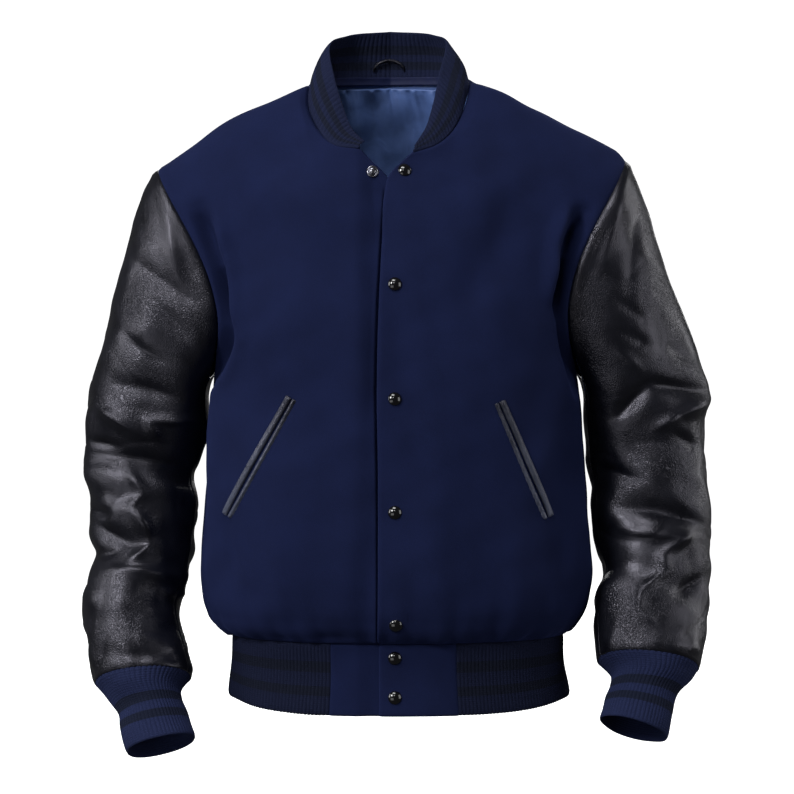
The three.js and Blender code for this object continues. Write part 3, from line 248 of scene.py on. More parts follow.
# Sleeve folds, with x measured outwards from the centre line on either side
SLEEVE_FOLDS = {
    "right": [
        (-1, 273, -194, 208, -239, 9, -3, 0),
        (-1, 294, -323, 218, -344, 10, -5, 4),
        (-1, 317, -341, 265, -375, 8, 4, 0),
        (-1, 214, -361, 259, -360, 6, 4, 0),
        (-1, 259, -360, 247, -380, 6, 3, 0),
        (-1, 324, -396, 213, -417, 12, -7.5, 5),
        (-1, 281, -412, 261, -436, 6, 4, 0),
        (-1, 261, -436, 276, -452, 6, 3, 0),
        (-1, 276, -452, 255, -485, 7, 4, 3),
        (-1, 253, -490, 276, -506, 6, 3, 0),
        (-1, 322, -469, 255, -490, 11, -6, -6),
        (-1, 324, -383, 294, -387, 5, -4, 0),
        (-1, 326, -456, 297, -460, 6, -4, 0),
        (-1, 320, -502, 292, -498, 5, -3, 0),
        (-1, 297, -516, 223, -527, 7, 3, 4),
        (-1, 244, -537, 213, -553, 6, 3, 0),
        (-1, 302, -548, 265, -553, 24, 3, 0),
        (-1, 296, -585, 310, -625, 2.5, -1.2, 0),
        (-1, 244, -119, 225, -224, 8, 2.5, 3),
        (-1, 255, -166, 265, -307, 16, 2, 4),
        (-1, 255, -234, 213, -281, 9, -2.5, 3),
        (-1, 286, -265, 234, -302, 8, -2, -4),
        (1, 330, -360, 225, -385, 14, -8, 6),
        (1, 322, -385, 240, -404, 8, 3.5, 4),
        (1, 330, -440, 225, -448, 13, -7, -5),
        (1, 320, -462, 250, -476, 7, 3.5, 3),
        (1, 325, -505, 230, -512, 12, -6, 5),
        (1, 300, -530, 240, -548, 7, 3, 0),
        (1, 262, -170, 240, -300, 14, 2.2, 5),
        (1, 300, -290, 232, -320, 9, -3, 3),
    ],
    "left": [
        (-1, 244, -114, 217, -194, 8, 2, 0),
        (-1, 262, -135, 244, -234, 9, -1.5, 4),
        (-1, 228, -234, 259, -253, 5, -1.6, 0),
        (-1, 231, -265, 265, -281, 5, -1.6, 0),
        (-1, 234, -288, 259, -309, 5, 1.6, 0),
        (-1, 338, -330, 267, -323, 9, -6, 0),
        (-1, 267, -323, 231, -360, 9, -5, 0),
        (-1, 333, -340, 299, -354, 7, 4, 0),
        (-1, 299, -354, 273, -370, 7, 3, 0),
        (-1, 293, -374, 322, -390, 6, -3, 0),
        (-1, 236, -452, 322, -468, 11, -7, -5),
        (-1, 238, -475, 314, -485, 6, 3, 0),
        (-1, 314, -477, 279, -502, 7, 4, 0),
        (-1, 279, -502, 286, -516, 6, 3, 0),
        (-1, 286, -516, 257, -537, 6, 4, 0),
        (-1, 257, -537, 254, -558, 5, 3, 0),
        (-1, 254, -558, 269, -569, 5, 2, 0),
        (-1, 218, -582, 213, -600, 2.5, -1, 0),
        (-1, 213, -412, 257, -422, 8, -3, 0),
        (-1, 288, -281, 320, -297, 9, -2.5, 0),
        (-1, 267, -590, 309, -602, 8, 2, 0),
        (-1, 326, -526, 296, -540, 8, -5, 0),
        (1, 335, -352, 230, -384, 14, -8, 6),
        (1, 326, -380, 244, -406, 8, 3.5, 4),
        (1, 338, -432, 230, -440, 13, -7, -5),
        (1, 326, -458, 250, -470, 7, 3.5, 3),
        (1, 333, -500, 230, -506, 12, -6, 5),
        (1, 306, -530, 244, -546, 7, 3, 0),
        (1, 262, -170, 244, -300, 14, 2.2, 5),
        (1, 306, -290, 236, -320, 9, -3, 3),
    ],
}

# Snap caps on the top layer, from the neck down, and the open snap's stud
SNAP_CAPS = [(11, -104), (1, -222), (1, -338), (1, -452), (2, -566), (1, -601), (1, -641)]
SNAP_STUD = (-22, -105)

# Pocket slits: upper and lower end on each front
POCKETS = {"right": (-103, -338, -171, -458), "left": (106, -342, 157, -459)}

# Where the wool tabs of the hem band end, and how far they reach past the centre
TAB_END = {"right": -65.0, "left": 64.0}
TAB_REACH = 14.0

# Inside of the neck: lining behind the wool, tape and loop before the collar's wall
LINING_GAP = 2.0
TAPE_GAP, TAPE_HALF = 4.0, 4.0
LOOP_GAP, LOOP_THICK = 4.4, 1.2
LOOP_MIDDLE, LOOP_REACH = 0.497, 0.037

# Space left between two knit or wool edges that meet at a seam of the hem band
SEAM_GAP = 0.3

# The leather's placed folds: how much higher than their list, and how crisp
LEATHER_FOLD, LEATHER_CRISP = 1.75, 0.6

# The leather's small crumples: height and wavelength, and where they set in down the sleeve
CRUMPLE_HEIGHT, CRUMPLE_LENGTH = 0.9, 86.0
CRUMPLE_FROM, CRUMPLE_TO = 180.0, 290.0

# Knit edges that roll inwards: how deep, and how far from the edge
ROLLS = {"hem_low": (0.9, 1.5), "hem_top": (0.8, 2.5), "collar": (1.0, 1.8), "cuff": (1.0, 1.6)}

# Valleys along the seams: depth and half width
VALLEYS = {
    "side": (1.4, 3.0), "top": (1.2, 3.0), "hem": (1.0, 3.0), "armhole": (1.3, 2.6),
    "wrist": (1.0, 2.6), "sleeve": (0.8, 1.6), "band": (0.9, 2.5), "tab": (0.8, 2.0),
}

# Pleats along a seam: height, how far they reach away from it, and the pitches of their waves
PLEATS = {
    "hem": (3.6, 34, (23, 37, 58)), "wrist": (1.2, 16, (17, 26, 39)),
    "lining_small": (2.6, 24, (8, 11, 16)), "lining_large": (4.6, 150, (29, 43, 63)),
}

# Uneven heights: the size and the wavelength of each kind of wave
WAVES = {
    "body_long": (2.2, 120), "body_short": (0.55, 42), "sleeve_long": (1.6, 80),
    "sleeve_short": (1.3, 52), "tab": (0.5, 45), "hem": (0.7, 80), "collar": (0.8, 60),
    "cuff": (1.0, 45), "lining": (1.6, 40), "tape": (0.25, 14),
}

# Stripes of the knit bands: share of the height where a colour begins, from the bottom, and
# whether it is the dark one
STRIPES = {
    "Hem": [(0.0, 0), (0.255, 1), (0.391, 0), (0.587, 1), (0.743, 0)],
    "Cuff": [(0.0, 0), (0.27, 1), (0.40, 0), (0.54, 1), (0.68, 0)],
    "Collar": [(0.0, 0), (0.24, 1), (0.42, 0), (0.56, 1), (0.75, 0)],
}

# How much lighter or darker than the knit's two colours each band's are: painted light and shade
# for how brightly each band is lit, the knit lighter on the cuffs and darker on the hem and collar,
# the stripes lighter on the cuffs and collar
KNIT_LIGHT_AND_SHADE = {"Hem": 0.62, "Collar": 0.85, "Cuff": 1.4}
STRIPE_LIGHT_AND_SHADE = {"Hem": 1.0, "Collar": 1.3, "Cuff": 1.6}

# Heights of the knit bands as knitted, ribs round the collar and a cuff, and columns to a rib
HEM_HEIGHT, COLLAR_HEIGHT, CUFF_HEIGHT = 65.0, 62.0, 66.0
COLLAR_RIBS, CUFF_RIBS = 96, 58
HEM_RIB_COLUMNS, RIB_COLUMNS = 6, 7

# Pocket welts: distance of each from the slit and half its width, how far its edges stand off
# the front, and how much more its middle does
WELT_MIDDLE, WELT_HALF = 3.75, 2.75
WELT_LIFT, WELT_CROWN = 1.3, 1.3

# Snap caps: radius and height, and the radius of cloth that one is set on
CAP_RADIUS, CAP_HEIGHT, SNAP_SEAT = 6.8, 3.7, 6.0

# Starting numbers of the uneven heights of each piece
SEEDS = {
    "front_right": 11, "front_left": 23, "back": 31, "sleeve_right": 41, "sleeve_left": 57,
    "hem_tab": 71, "hem_rib": 77, "collar": 83, "cuff_right": 91, "cuff_left": 97,
    "lining": 103, "neck_tape": 109,
}


# Settings that a user would change

def length_setting(name, description, default, low, high):
    """A length in metres between two limits."""
    return bpy.props.FloatProperty(
        name=name, description=description, default=default, min=low, max=high,
        subtype="DISTANCE", unit="LENGTH")


def strength_setting(name, description):
    """A factor that makes a form weaker or stronger than it is in the photo."""
    return bpy.props.FloatProperty(
        name=name, description=description, default=1.0, min=0.0, max=2.0, subtype="FACTOR")


class JacketSizes(bpy.types.PropertyGroup):
    """Thicknesses, knit pitch and fold strength of the jacket."""

    wool: length_setting("Wool", "Thickness of the wool melton", 0.0022, 0.001, 0.003)
    leather: length_setting("Leather", "Thickness of the sleeve leather", 0.0016, 0.001, 0.003)
    knit: length_setting("Knit", "Thickness of the rib knit", 0.0024, 0.001, 0.003)
    satin: length_setting("Satin", "Thickness of the lining", 0.001, 0.0005, 0.002)
    rib_pitch: length_setting("Rib pitch", "Distance from rib to rib", 0.0039, 0.002, 0.008)
    rib_height: length_setting("Rib height", "How far a rib stands out", 0.0009, 0.0, 0.002)
    folds: strength_setting("Folds", "Strength of the cloth's folds")
    wrinkles: strength_setting("Wrinkles", "Strength of the leather's small wrinkles")


def colour_setting(name, description, code):
    """A colour property whose default is an sRGB hex code."""
    return bpy.props.FloatVectorProperty(
        name=name, description=description, default=linear(code), min=0.0, max=1.0,
        size=3, subtype="COLOR")


def linear(code):
    """Linear colour of an sRGB hex code."""
    parts = [int(code[k:k + 2], 16) / 255 for k in (1, 3, 5)]
    return tuple(c / 12.92 if c <= 0.04045 else ((c + 0.055) / 1.055) ** 2.4 for c in parts)


class JacketColours(bpy.types.PropertyGroup):
    """Colours of the jacket's cloth, leather and snaps."""

    wool: colour_setting("Wool", "Navy of the wool", "#121a3b")
    knit: colour_setting("Knit", "Navy of the rib knit", "#181e38")
    stripe: colour_setting("Stripe", "Darker stripe of the rib knit", "#0e1220")
    leather: colour_setting("Leather", "Black of the leather", "#0c0d13")
    # The welts' grey is the leather's black made lighter: a painted highlight
    welt: colour_setting("Welt", "Worn black of the pocket welts", "#3b3f4d")
    lining: colour_setting("Lining", "Blue of the satin", "#516aa2")
    tape: colour_setting("Tape", "Navy of the neck tape", "#141b3c")
    cap: colour_setting("Snap cap", "Black enamel of the caps", "#08080b")
    stud: colour_setting("Snap stud", "Black nickel of the open snap", "#8c8c94")


# Shapes

def curve(rows, name, at):
    """Value of a column at a key: a cubic between rows whose slope at a row is that of the
    parabola through the row and its neighbours."""
    keys, values = rows["key"], rows[name]
    gap = np.diff(keys)
    rise = np.diff(values) / gap
    slope = np.concatenate((rise[:1], rise))
    slope[1:-1] = (rise[:-1] * gap[1:] + rise[1:] * gap[:-1]) / (gap[1:] + gap[:-1])
    at = np.clip(at, keys[0], keys[-1])
    i = np.clip(np.searchsorted(keys, at, side="right") - 1, 0, len(gap) - 1)
    t = (at - keys[i]) / gap[i]
    start = (2 * t**3 - 3 * t**2 + 1) * values[i] + (t**3 - 2 * t**2 + t) * gap[i] * slope[i]
    return start + (3 * t**2 - 2 * t**3) * values[i + 1] + (t**3 - t**2) * gap[i] * slope[i + 1]


def mix(start, end, part):
    """Straight blend from start to end."""
    return start + (end - start) * part


def ease(low, high, value):
    """Smooth step from 0 at low to 1 at high."""
    part = np.clip((value - low) / (high - low), 0, 1)
    return part * part * (3 - 2 * part)


def signed_power(value, power):
    """Power of a number's size that keeps its sign."""
    return np.sign(value) * np.abs(value) ** power


def unit(vectors):
    """Vectors of length one."""
    length = np.linalg.norm(vectors, axis=-1, keepdims=True)
    return vectors / np.where(length < 1e-12, 1, length)


def side_sign(side):
    """-1 on the wearer's right, 1 on the left."""
    return -1.0 if side == "right" else 1.0


def early_swell(part):
    """Bump over 0 to 1 whose greatest height, 1, is a third of the way along."""
    return 27 / 4 * part * (1 - part) ** 2


def bell(value, width):
    """Bell-shaped bump of height 1 about zero."""
    return np.exp(-((value / width) ** 2))


def section_depth(x, half, deep):
    """Rounded curve from the full depth at the middle to nothing at the half width."""
    part = np.clip(np.abs(x) / half, 0, 1)
    return deep * (1 - part**BODY_ROUND) ** (1 / BODY_ROUND)


def section_point(rows, face, x, z):
    """Point of a closed body section at a sideways place and height."""
    half = np.where(x < 0, curve(rows, "right", z), curve(rows, "left", z))
    deep = curve(rows, "front" if face < 0 else "back", z)
    return np.stack((x, face * section_depth(x, half, deep), z + 0 * x), axis=-1)


def tube_point(rows, side, turn, drop):
    """Rounded section of a sleeve or cuff: turn 0 is the outer line, half a turn the inner line,
    the front between them and the back beyond, and the middle line bows near the armhole."""
    angle = np.arccos(np.clip(np.cos(turn), -1, 1))
    face = np.where(np.sin(turn) >= 0, -1.0, 1.0)
    across = signed_power(np.cos(angle), 2 / SLEEVE_ROUND)
    along = np.abs(np.sin(angle)) ** (2 / SLEEVE_ROUND) * face
    lean = np.radians(curve(rows, "lean", drop))
    down = (1 - across) / 2
    bow = curve(rows, "bow", drop) * 4 * down**1.5 * (1 - down) if "bow" in rows else 0
    depth = curve(rows, "depth", drop)
    x = mix(curve(rows, "outX", drop), curve(rows, "inX", drop), down) - bow
    y = curve(rows, "y", drop) + along * depth * np.cos(lean)
    z = mix(curve(rows, "outZ", drop), curve(rows, "inZ", drop), down)
    return np.stack((side_sign(side) * x, y, z - along * depth * np.sin(lean)), axis=-1)


def neck_point(side, way, top=False):
    """Point of the neck seam, or of the collar's top edge, at a way along it."""
    names = ("topX", "topY", "topZ") if top else ("x", "y", "z")
    return np.stack([curve(NECK[side], name, way) for name in names], axis=-1)


def top_edge(side, face, part):
    """Neck seam up to the shoulder, then the shoulder seam, slightly raised between its ends."""
    way = np.clip(part / SHOULDER_PART, 0, 1)
    seam = neck_point(side, way if face < 0 else 2 - way)
    rest = np.clip((part - SHOULDER_PART) / (1 - SHOULDER_PART), 0, 1)[..., None]
    tip = tube_point(SLEEVES[side], side, np.float64(0), np.float64(0))
    shoulder = mix(neck_point(side, np.float64(1)), tip, rest)
    shoulder[..., 2] += SHOULDER_RISE * np.sin(rest[..., 0] * np.pi)
    return np.where(rest > 0, shoulder, seam)


def panel_points(side, face, part, row):
    """Half of a body panel. part runs from the centre to the side. Rows 0 to 1 go from the hem to
    the armpit as body sections; rows 1 to 2 follow the armhole, each row a section that ends on
    the armhole and is eased into the neck and shoulder seams."""
    sign = side_sign(side)
    part, row = np.meshgrid(part, row, indexing="ij")
    sideways = np.sin(part * np.pi / 2) ** (2 / BODY_ROUND)

    def edge_at(z):
        return curve(FRONT_EDGES[side], "x", z) if face < 0 else 0 * z

    z = mix(HEM_SEAM_Z, ARMPIT_Z, 1 - (1 - np.clip(row, 0, 1)) ** 1.25)
    half = curve(TORSO, side, z) * sign
    lower = section_point(TORSO, face, mix(edge_at(z), half, sideways), z)

    angle = np.clip(np.pi * (2 - row), 1e-3, np.pi)
    hole = tube_point(SLEEVES[side], side, -face * angle, 0 * angle)
    top = top_edge(side, face, part)
    down = (1 - signed_power(np.cos(angle), 2 / SLEEVE_ROUND)) / 2
    up = 1 - down
    over = np.sqrt(np.clip(1 - up * up, 1e-9, 1))
    edge_top = top_edge(side, face, np.float64(0))
    tip = tube_point(SLEEVES[side], side, np.float64(0), np.float64(0))
    centre_top = abs(edge_top[1])
    armpit_deep = curve(TORSO, "front" if face < 0 else "back", np.float64(ARMPIT_Z))
    centre = mix(centre_top, armpit_deep, down) + CHEST_SWELL * np.sin(np.pi * up)
    deep = centre_top + (centre - centre_top) / over
    edge = edge_at(mix(edge_top[2], ARMPIT_Z, down))
    if face > 0:
        edge = edge_top[0] * (1 - over)
    x = mix(edge, hole[..., 0], mix(sideways, part, up))
    hole_deep = np.minimum(np.abs(hole[..., 1]) / over, deep * 0.99)
    reach = (1 - (hole_deep / deep) ** BODY_ROUND) ** (1 / BODY_ROUND)
    depth = section_depth(x, np.abs(hole[..., 0]) / reach, deep)
    y = mix(top[..., 1], face * depth, over)
    shift = (top[..., 0] - mix(edge_top[0], tip[0], part)) * (1 - over)
    flare = NECK_FLARE * early_swell(part) * np.sin(angle)
    upper = np.stack((x + shift + sign * flare, y, mix(top[..., 2], ARMPIT_Z, down)), axis=-1)
    upper += (hole - upper[-1:, :]) * ease(0.72, 1.0, part)[..., None]
    points = np.where(row[..., None] <= 1, lower, upper)
    last = row[0] >= 2 - 1e-9
    points[:, last] = top[:, last]
    armpit = bell(points[..., 2] - ARMPIT_Z, ARMPIT_REACH)
    points = soften_rows(points, armpit, ARMPIT_ROUNDS)
    corner = bell(part - SHOULDER_PART, SHOULDER_REACH)
    corner = corner * ease(1.05, 1.25, row) * ease(1.985, 1.8, row)
    return soften_rows(points.swapaxes(0, 1), corner.T, SHOULDER_ROUNDS).swapaxes(0, 1)


def soften_rows(points, weight, rounds):
    """Each point is drawn to the middle of its neighbours in the row direction, again and again,
    as far as its weight allows, so that a crease across the rows turns soft."""
    points = points.copy()
    pull = weight[:, 1:-1, None] * 0.5
    for _ in range(rounds):
        middle = (points[:, :-2] + points[:, 2:]) / 2
        points[:, 1:-1] += (middle - points[:, 1:-1]) * pull
    return points


def normals_of(points, closed=False):
    """Unit normals of a grid: its first direction crossed with its second."""
    if closed:
        across = np.roll(points, -1, axis=0) - np.roll(points, 1, axis=0)
    else:
        across = np.gradient(points, axis=0)
    return unit(np.cross(across, np.gradient(points, axis=1)))


def panel_normals(points, crowded=10):
    """Normals of a body panel; its crowded top rows take those of the row below them."""
    normals = normals_of(points)
    normals[:, -crowded:] = normals[:, -crowded - 1:-crowded]
    return normals


def runs(points, axis):
    """Distance along a grid line from its start to each point."""
    step = np.linalg.norm(np.diff(points, axis=axis), axis=-1)
    zero = np.zeros_like(np.take(step, [0], axis=axis))
    return np.cumsum(np.concatenate((zero, step), axis=axis), axis=axis)


def beside_line(x, z, x0, z0, x1, z1):
    """How far along a line seen from the front each place lies, as a share of it, how far to its
    side, and the line's length."""
    dx, dz = x1 - x0, z1 - z0
    length = math.hypot(dx, dz)
    near = ((x - x0) * dx + (z - z0) * dz) / length**2
    aside = ((x - x0) * dz - (z - z0) * dx) / length
    return near, aside, length


def fold_heights(folds, points, normals, mirror=1.0, crisp=0.0):
    """Sum of the folds: each a ridge or trough across its bent line, fading to its ends and where
    the cloth turns away from the fold's face. It is bell-shaped across, or the more it is crisp
    the straighter its slopes and the narrower its crest."""
    x, z = points[..., 0] * mirror, points[..., 2]
    height = np.zeros(x.shape)
    for face, x0, z0, x1, z1, width, depth, bend in folds:
        near, aside, length = beside_line(x, z, x0, z0, x1, z1)
        inside = np.clip(near, 0, 1)
        across = aside - bend * 4 * inside * (1 - inside)
        away = np.hypot(across, (near - inside) * length)
        taper = mix(0.3, 1.0, np.sin(np.pi * inside))
        facing = ease(-0.35, 0.35, normals[..., 1] * face)
        crest = 1.25 * np.exp(-1.25 * np.sqrt((away / width) ** 2 + 0.03))
        height += depth * facing * taper * mix(bell(away, width), crest, crisp)
    return height


def uneven(points, kind, seed):
    """Uneven heights of a named kind."""
    size, wavelength = WAVES[kind]
    return size * unevenness(points, wavelength, seed)


def unevenness(points, wavelength, seed, waves=7):
    """Smooth random heights about zero: waves in random directions with lengths near the given."""
    rng = np.random.default_rng(seed)
    ways = unit(rng.normal(size=(waves, 3)))
    sizes = 2 * np.pi / (wavelength * rng.uniform(0.7, 1.5, waves))
    phases = rng.uniform(0, 2 * np.pi, waves)
    waves_at = np.sin(points @ (ways * sizes[:, None]).T + phases)
    return waves_at.sum(axis=-1) / math.sqrt(waves)


def crumple(points, wavelength, seed):
    """Narrow winding ridges between 0 and 1 where a warped random height crosses zero."""
    warp = np.stack([unevenness(points, wavelength * 1.6, seed + k) for k in (1, 2, 3)], axis=-1)
    height = unevenness(points + warp * wavelength * 0.28, wavelength, seed)
    return np.clip(1 - np.abs(height) * 1.5, 0, 1) ** 2


def gathers(run, away, seed, place):
    """Small pleats along an edge: three waves of different pitch, none quite regular, that die
    out away from it."""
    size, reach, pitches = PLEATS[place]
    rng = np.random.default_rng(seed)
    height = sum(
        np.sin(2 * np.pi * run / pitch + rng.uniform(0, 2 * np.pi) + np.sin(run / 37.0 + pitch))
        for pitch in pitches)
    return size * height / len(pitches) * np.exp(-away / reach)


# Meshes

def grid_mesh(name, outer, inner, closed=False, flip=False, uv=None, bulge=0.5):
    """Closed shell of an outer and an inner grid, joined round its open edges by a strip whose
    middle stands out, so that the cloth's edge is round. Points are millimetres. Lengths along
    the columns and rows, if given, make two maps: one in metres, one in shares of the whole."""
    columns, rows = outer.shape[:2]
    if flip:
        outer, inner = outer[::-1], inner[::-1]
    across = columns if closed else columns - 1
    i, j = np.meshgrid(np.arange(across), np.arange(rows - 1), indexing="ij")
    i, j = i.ravel(), j.ravel()
    corner_i = np.stack((i, i + 1, i + 1, i), axis=1)
    corner_j = np.stack((j, j, j + 1, j + 1), axis=1)
    outer_faces = (corner_i % columns) * rows + corner_j
    inner_faces = outer_faces[:, ::-1] + columns * rows

    if closed:
        loops = [(np.arange(columns + 1) % columns, np.zeros(columns + 1, int)),
                 (np.arange(columns, -1, -1) % columns, np.full(columns + 1, rows - 1))]
    else:
        ring_i = np.concatenate((np.arange(columns - 1), np.full(rows - 1, columns - 1),
                                 np.arange(columns - 1, 0, -1), np.zeros(rows, int)))
        ring_j = np.concatenate((np.zeros(columns - 1, int), np.arange(rows - 1),
                                 np.full(columns - 1, rows - 1), np.arange(rows - 1, -1, -1)))
        loops = [(ring_i, ring_j)]
    points = [outer.reshape(-1, 3), inner.reshape(-1, 3)]
    faces = [outer_faces, inner_faces]
    uv_i, uv_j = [corner_i, corner_i[:, ::-1]], [corner_j, corner_j[:, ::-1]]
    count = 2 * columns * rows
    for ring_i, ring_j in loops:
        rim_outer, rim_inner = outer[ring_i, ring_j], inner[ring_i, ring_j]
        along = unit(np.roll(rim_outer[:-1], -1, axis=0) - np.roll(rim_outer[:-1], 1, axis=0))
        out = unit(np.cross(along, rim_outer[:-1] - rim_inner[:-1]))
        thick = np.linalg.norm(rim_outer[:-1] - rim_inner[:-1], axis=1, keepdims=True)
        points.append((rim_outer[:-1] + rim_inner[:-1]) / 2 + out * thick * bulge)
        k = np.arange(len(out))
        after = (k + 1) % len(out)
        a = ring_i[:-1] * rows + ring_j[:-1]
        b = ring_i[1:] * rows + ring_j[1:]
        inside = columns * rows
        faces.append(np.stack((b, a, count + k, count + after), axis=1))
        faces.append(np.stack((count + after, count + k, a + inside, b + inside), axis=1))
        uv_i += 2 * [np.stack((ring_i[1:], ring_i[:-1], ring_i[:-1], ring_i[1:]), axis=1)]
        uv_j += 2 * [np.stack((ring_j[1:], ring_j[:-1], ring_j[:-1], ring_j[1:]), axis=1)]
        count += len(out)

    mesh = make_mesh(name, np.concatenate(points) * MM, np.concatenate(faces))
    mesh["inner_faces"] = [len(outer_faces), len(inner_faces)]
    if uv is not None:
        along, height = uv
        if flip:
            along = along[::-1]
        at_i, at_j = np.concatenate(uv_i), np.concatenate(uv_j)
        cloth = np.stack((along[at_i] * MM, height[at_j] * MM), axis=-1)
        share = np.stack((at_i / max(across, 1), (height / height[-1])[at_j]), axis=-1)
        for layer, values in (("cloth", cloth), ("share", share)):
            data = mesh.uv_layers.new(name=layer).data
            data.foreach_set("uv", values.astype(np.float32).ravel())
    return mesh


def make_mesh(name, points, faces):
    """Mesh of quads or triangles from whole arrays, smooth shaded."""
    mesh = bpy.data.meshes.new(name)
    size = faces.shape[1]
    mesh.vertices.add(len(points))
    mesh.vertices.foreach_set("co", np.asarray(points, dtype=np.float32).ravel())
    mesh.loops.add(faces.size)
    mesh.loops.foreach_set("vertex_index", faces.astype(np.int32).ravel())
    mesh.polygons.add(len(faces))
    mesh.polygons.foreach_set("loop_start", np.arange(0, faces.size, size, dtype=np.int32))
    mesh.polygons.foreach_set("use_smooth", np.ones(len(faces), dtype=bool))
    mesh.update(calc_edges=True)
    if mesh.validate():
        raise RuntimeError(f"{name} has faces that Blender refuses")
    return mesh


def add_object(name, mesh, material, inner_material=None):
    """Object at the origin with its material, and another one on its inner faces if given."""
    thing = bpy.data.objects.new(name, mesh)
    bpy.context.scene.collection.objects.link(thing)
    mesh.materials.append(material)
    if inner_material is not None:
        mesh.materials.append(inner_material)
        start, count = mesh["inner_faces"]
        slots = np.zeros(len(mesh.polygons), dtype=np.int32)
        slots[start:start + count] = 1
        mesh.polygons.foreach_set("material_index", slots)
    if "inner_faces" in mesh:
        del mesh["inner_faces"]
    return thing


def stand_for(thing, node):
    """The object takes the place of a solid and its finish."""
    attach(thing, "root")
    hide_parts(node)
    return thing


# Surfaces that later pieces lie on, kept from the operator that makes them
surfaces = {}


def seam_valley(distance, seam):
    """Dip towards a seam."""
    depth, width = VALLEYS[seam]
    return -depth * bell(distance, width)


def edge_distances(points):
    """Distance of each grid point from the first and last column and the first and last row."""
    across, along = runs(points, 0), runs(points, 1)
    return across, across[-1:] - across, along, along[:, -1:] - along


def drape_heights(points, normals, strength, seed, inside=1.0):
    """A body panel's placed folds with its long and short uneven waves."""
    height = strength * fold_heights(BODY_FOLDS, points, normals) * inside
    height += strength * uneven(points, "body_long", seed) * inside
    height += strength * uneven(points, "body_short", seed + 5) * inside
    return height


def dress_panel(points, sign, strength, seed, free_start):
    """Body panel with its folds, uneven drape, gathers above the hem seam and seam valleys.
    A free first column is the front edge, which has no seam."""
    normals = panel_normals(points) * sign
    start, end, low, top = edge_distances(points)
    side = end if free_start else np.minimum(start, end)
    inside = ease(0, 16, side) * ease(0, 16, top) * ease(0, 10, low)
    height = drape_heights(points, normals, strength, seed, inside)
    pleats = gathers(start[:, :1] + 0 * low, low, seed, "hem")
    height += strength * pleats * ease(0, 12, side) * ease(0, 6, low)
    height += seam_valley(side, "side") + seam_valley(top, "top") + seam_valley(low, "hem")
    return points + normals * height[..., None]


def underlap(points):
    """The right front and tab lie deeper where the left ones cover them."""
    x, z = points[..., 0], points[..., 2]
    points[..., 1] += TUCK * ease(-40, -20, x) * (1 + ease(-400, -300, z))
    return points


# Rows of the body grid: closer together at the hem and the shoulder, and nearly even steps on
# either side of the armpit, where the sections themselves move slowly
BODY_ROWS = np.concatenate((
    1 - (1 - np.linspace(0, 1, 100) ** 1.15) ** 0.8, 1 + np.linspace(0, 1, 96)[1:] ** 0.6))

# Columns of the front grid: close together beside the front edge
FRONT_COLUMNS = np.concatenate((
    np.linspace(0, 0.045, 9)[:-1], np.linspace(0.045, 0.095, 30)[:-1],
    np.linspace(0.095, 1, 66)))


def edge_dip(points):
    """The under layer falls away in a narrow dip beside the top layer's edge, deepest in the
    upper half of the opening."""
    x, z = points[..., 0], points[..., 2]
    edge = np.interp(z, FRONT_EDGES["left"]["key"], FRONT_EDGES["left"]["x"])
    upper = bell(z - GAPE_Z, 120)
    deep = mix(4.5, 8.0, upper) * ease(-118, -135, z)
    points[..., 1] += deep * bell(x - edge + 0.3, mix(1.7, 2.6, upper))
    return points


def front_points(side, strength):
    """Front panel with all its folds. The right one is tucked under and dips beside the left
    one's edge, which stands off it a little where the fronts gape."""
    points = panel_points(side, -1, FRONT_COLUMNS, BODY_ROWS)
    if side == "right":
        covered = ease(1.0, 0.8, FRONT_COLUMNS)[:, None, None]
        points = mix(points, underlap(points.copy()), covered)
    points = dress_panel(points, side_sign(side), strength, SEEDS[f"front_{side}"], True)
    points = sink_slit(points, side)
    if side == "right":
        return edge_dip(points)
    points[..., 1] -= 1.6 * bell(points[..., 2] - GAPE_Z, 90) * bell(runs(points, 0), 14)
    return points


def sink_slit(points, side):
    """The front dips in a narrow bell along its pocket's slit."""
    near, aside, _ = beside_line(points[..., 0], points[..., 2], *POCKETS[side])
    inside = ease(-0.03, 0.05, near) * ease(1.03, 0.95, near)
    points[..., 1] += 1.5 * inside * bell(aside, 2.6)
    return points


class JACKET_OT_body(bpy.types.Operator):
    """Adds the wool body: two fronts and a back."""

    bl_idname = "jacket.body"
    bl_label = "Wool body"

    def execute(self, context):
        sizes, thick = context.scene.jacket_sizes, context.scene.jacket_sizes.wool / MM
        wool, satin = wool_material(context), satin_material(context)
        grids = {f"front_{side}": (front_points(side, sizes.folds), side_sign(side))
                 for side in ("right", "left")}
        columns = np.linspace(0, 1, 76)
        halves = [panel_points(side, 1, columns, BODY_ROWS) for side in ("right", "left")]
        back = np.concatenate((halves[0][::-1], halves[1][1:]))
        grids["back"] = (dress_panel(back, -1.0, sizes.folds, SEEDS["back"], False), -1.0)
        for name, (points, sign) in grids.items():
            normals = panel_normals(points) * sign
            surfaces[name] = (points, normals)
            mesh = grid_mesh(name, points, points - normals * thick, flip=sign < 0)
            thing = stand_for(add_object(f"wool_{name}", mesh, wool, satin), name)
        return {"FINISHED"}


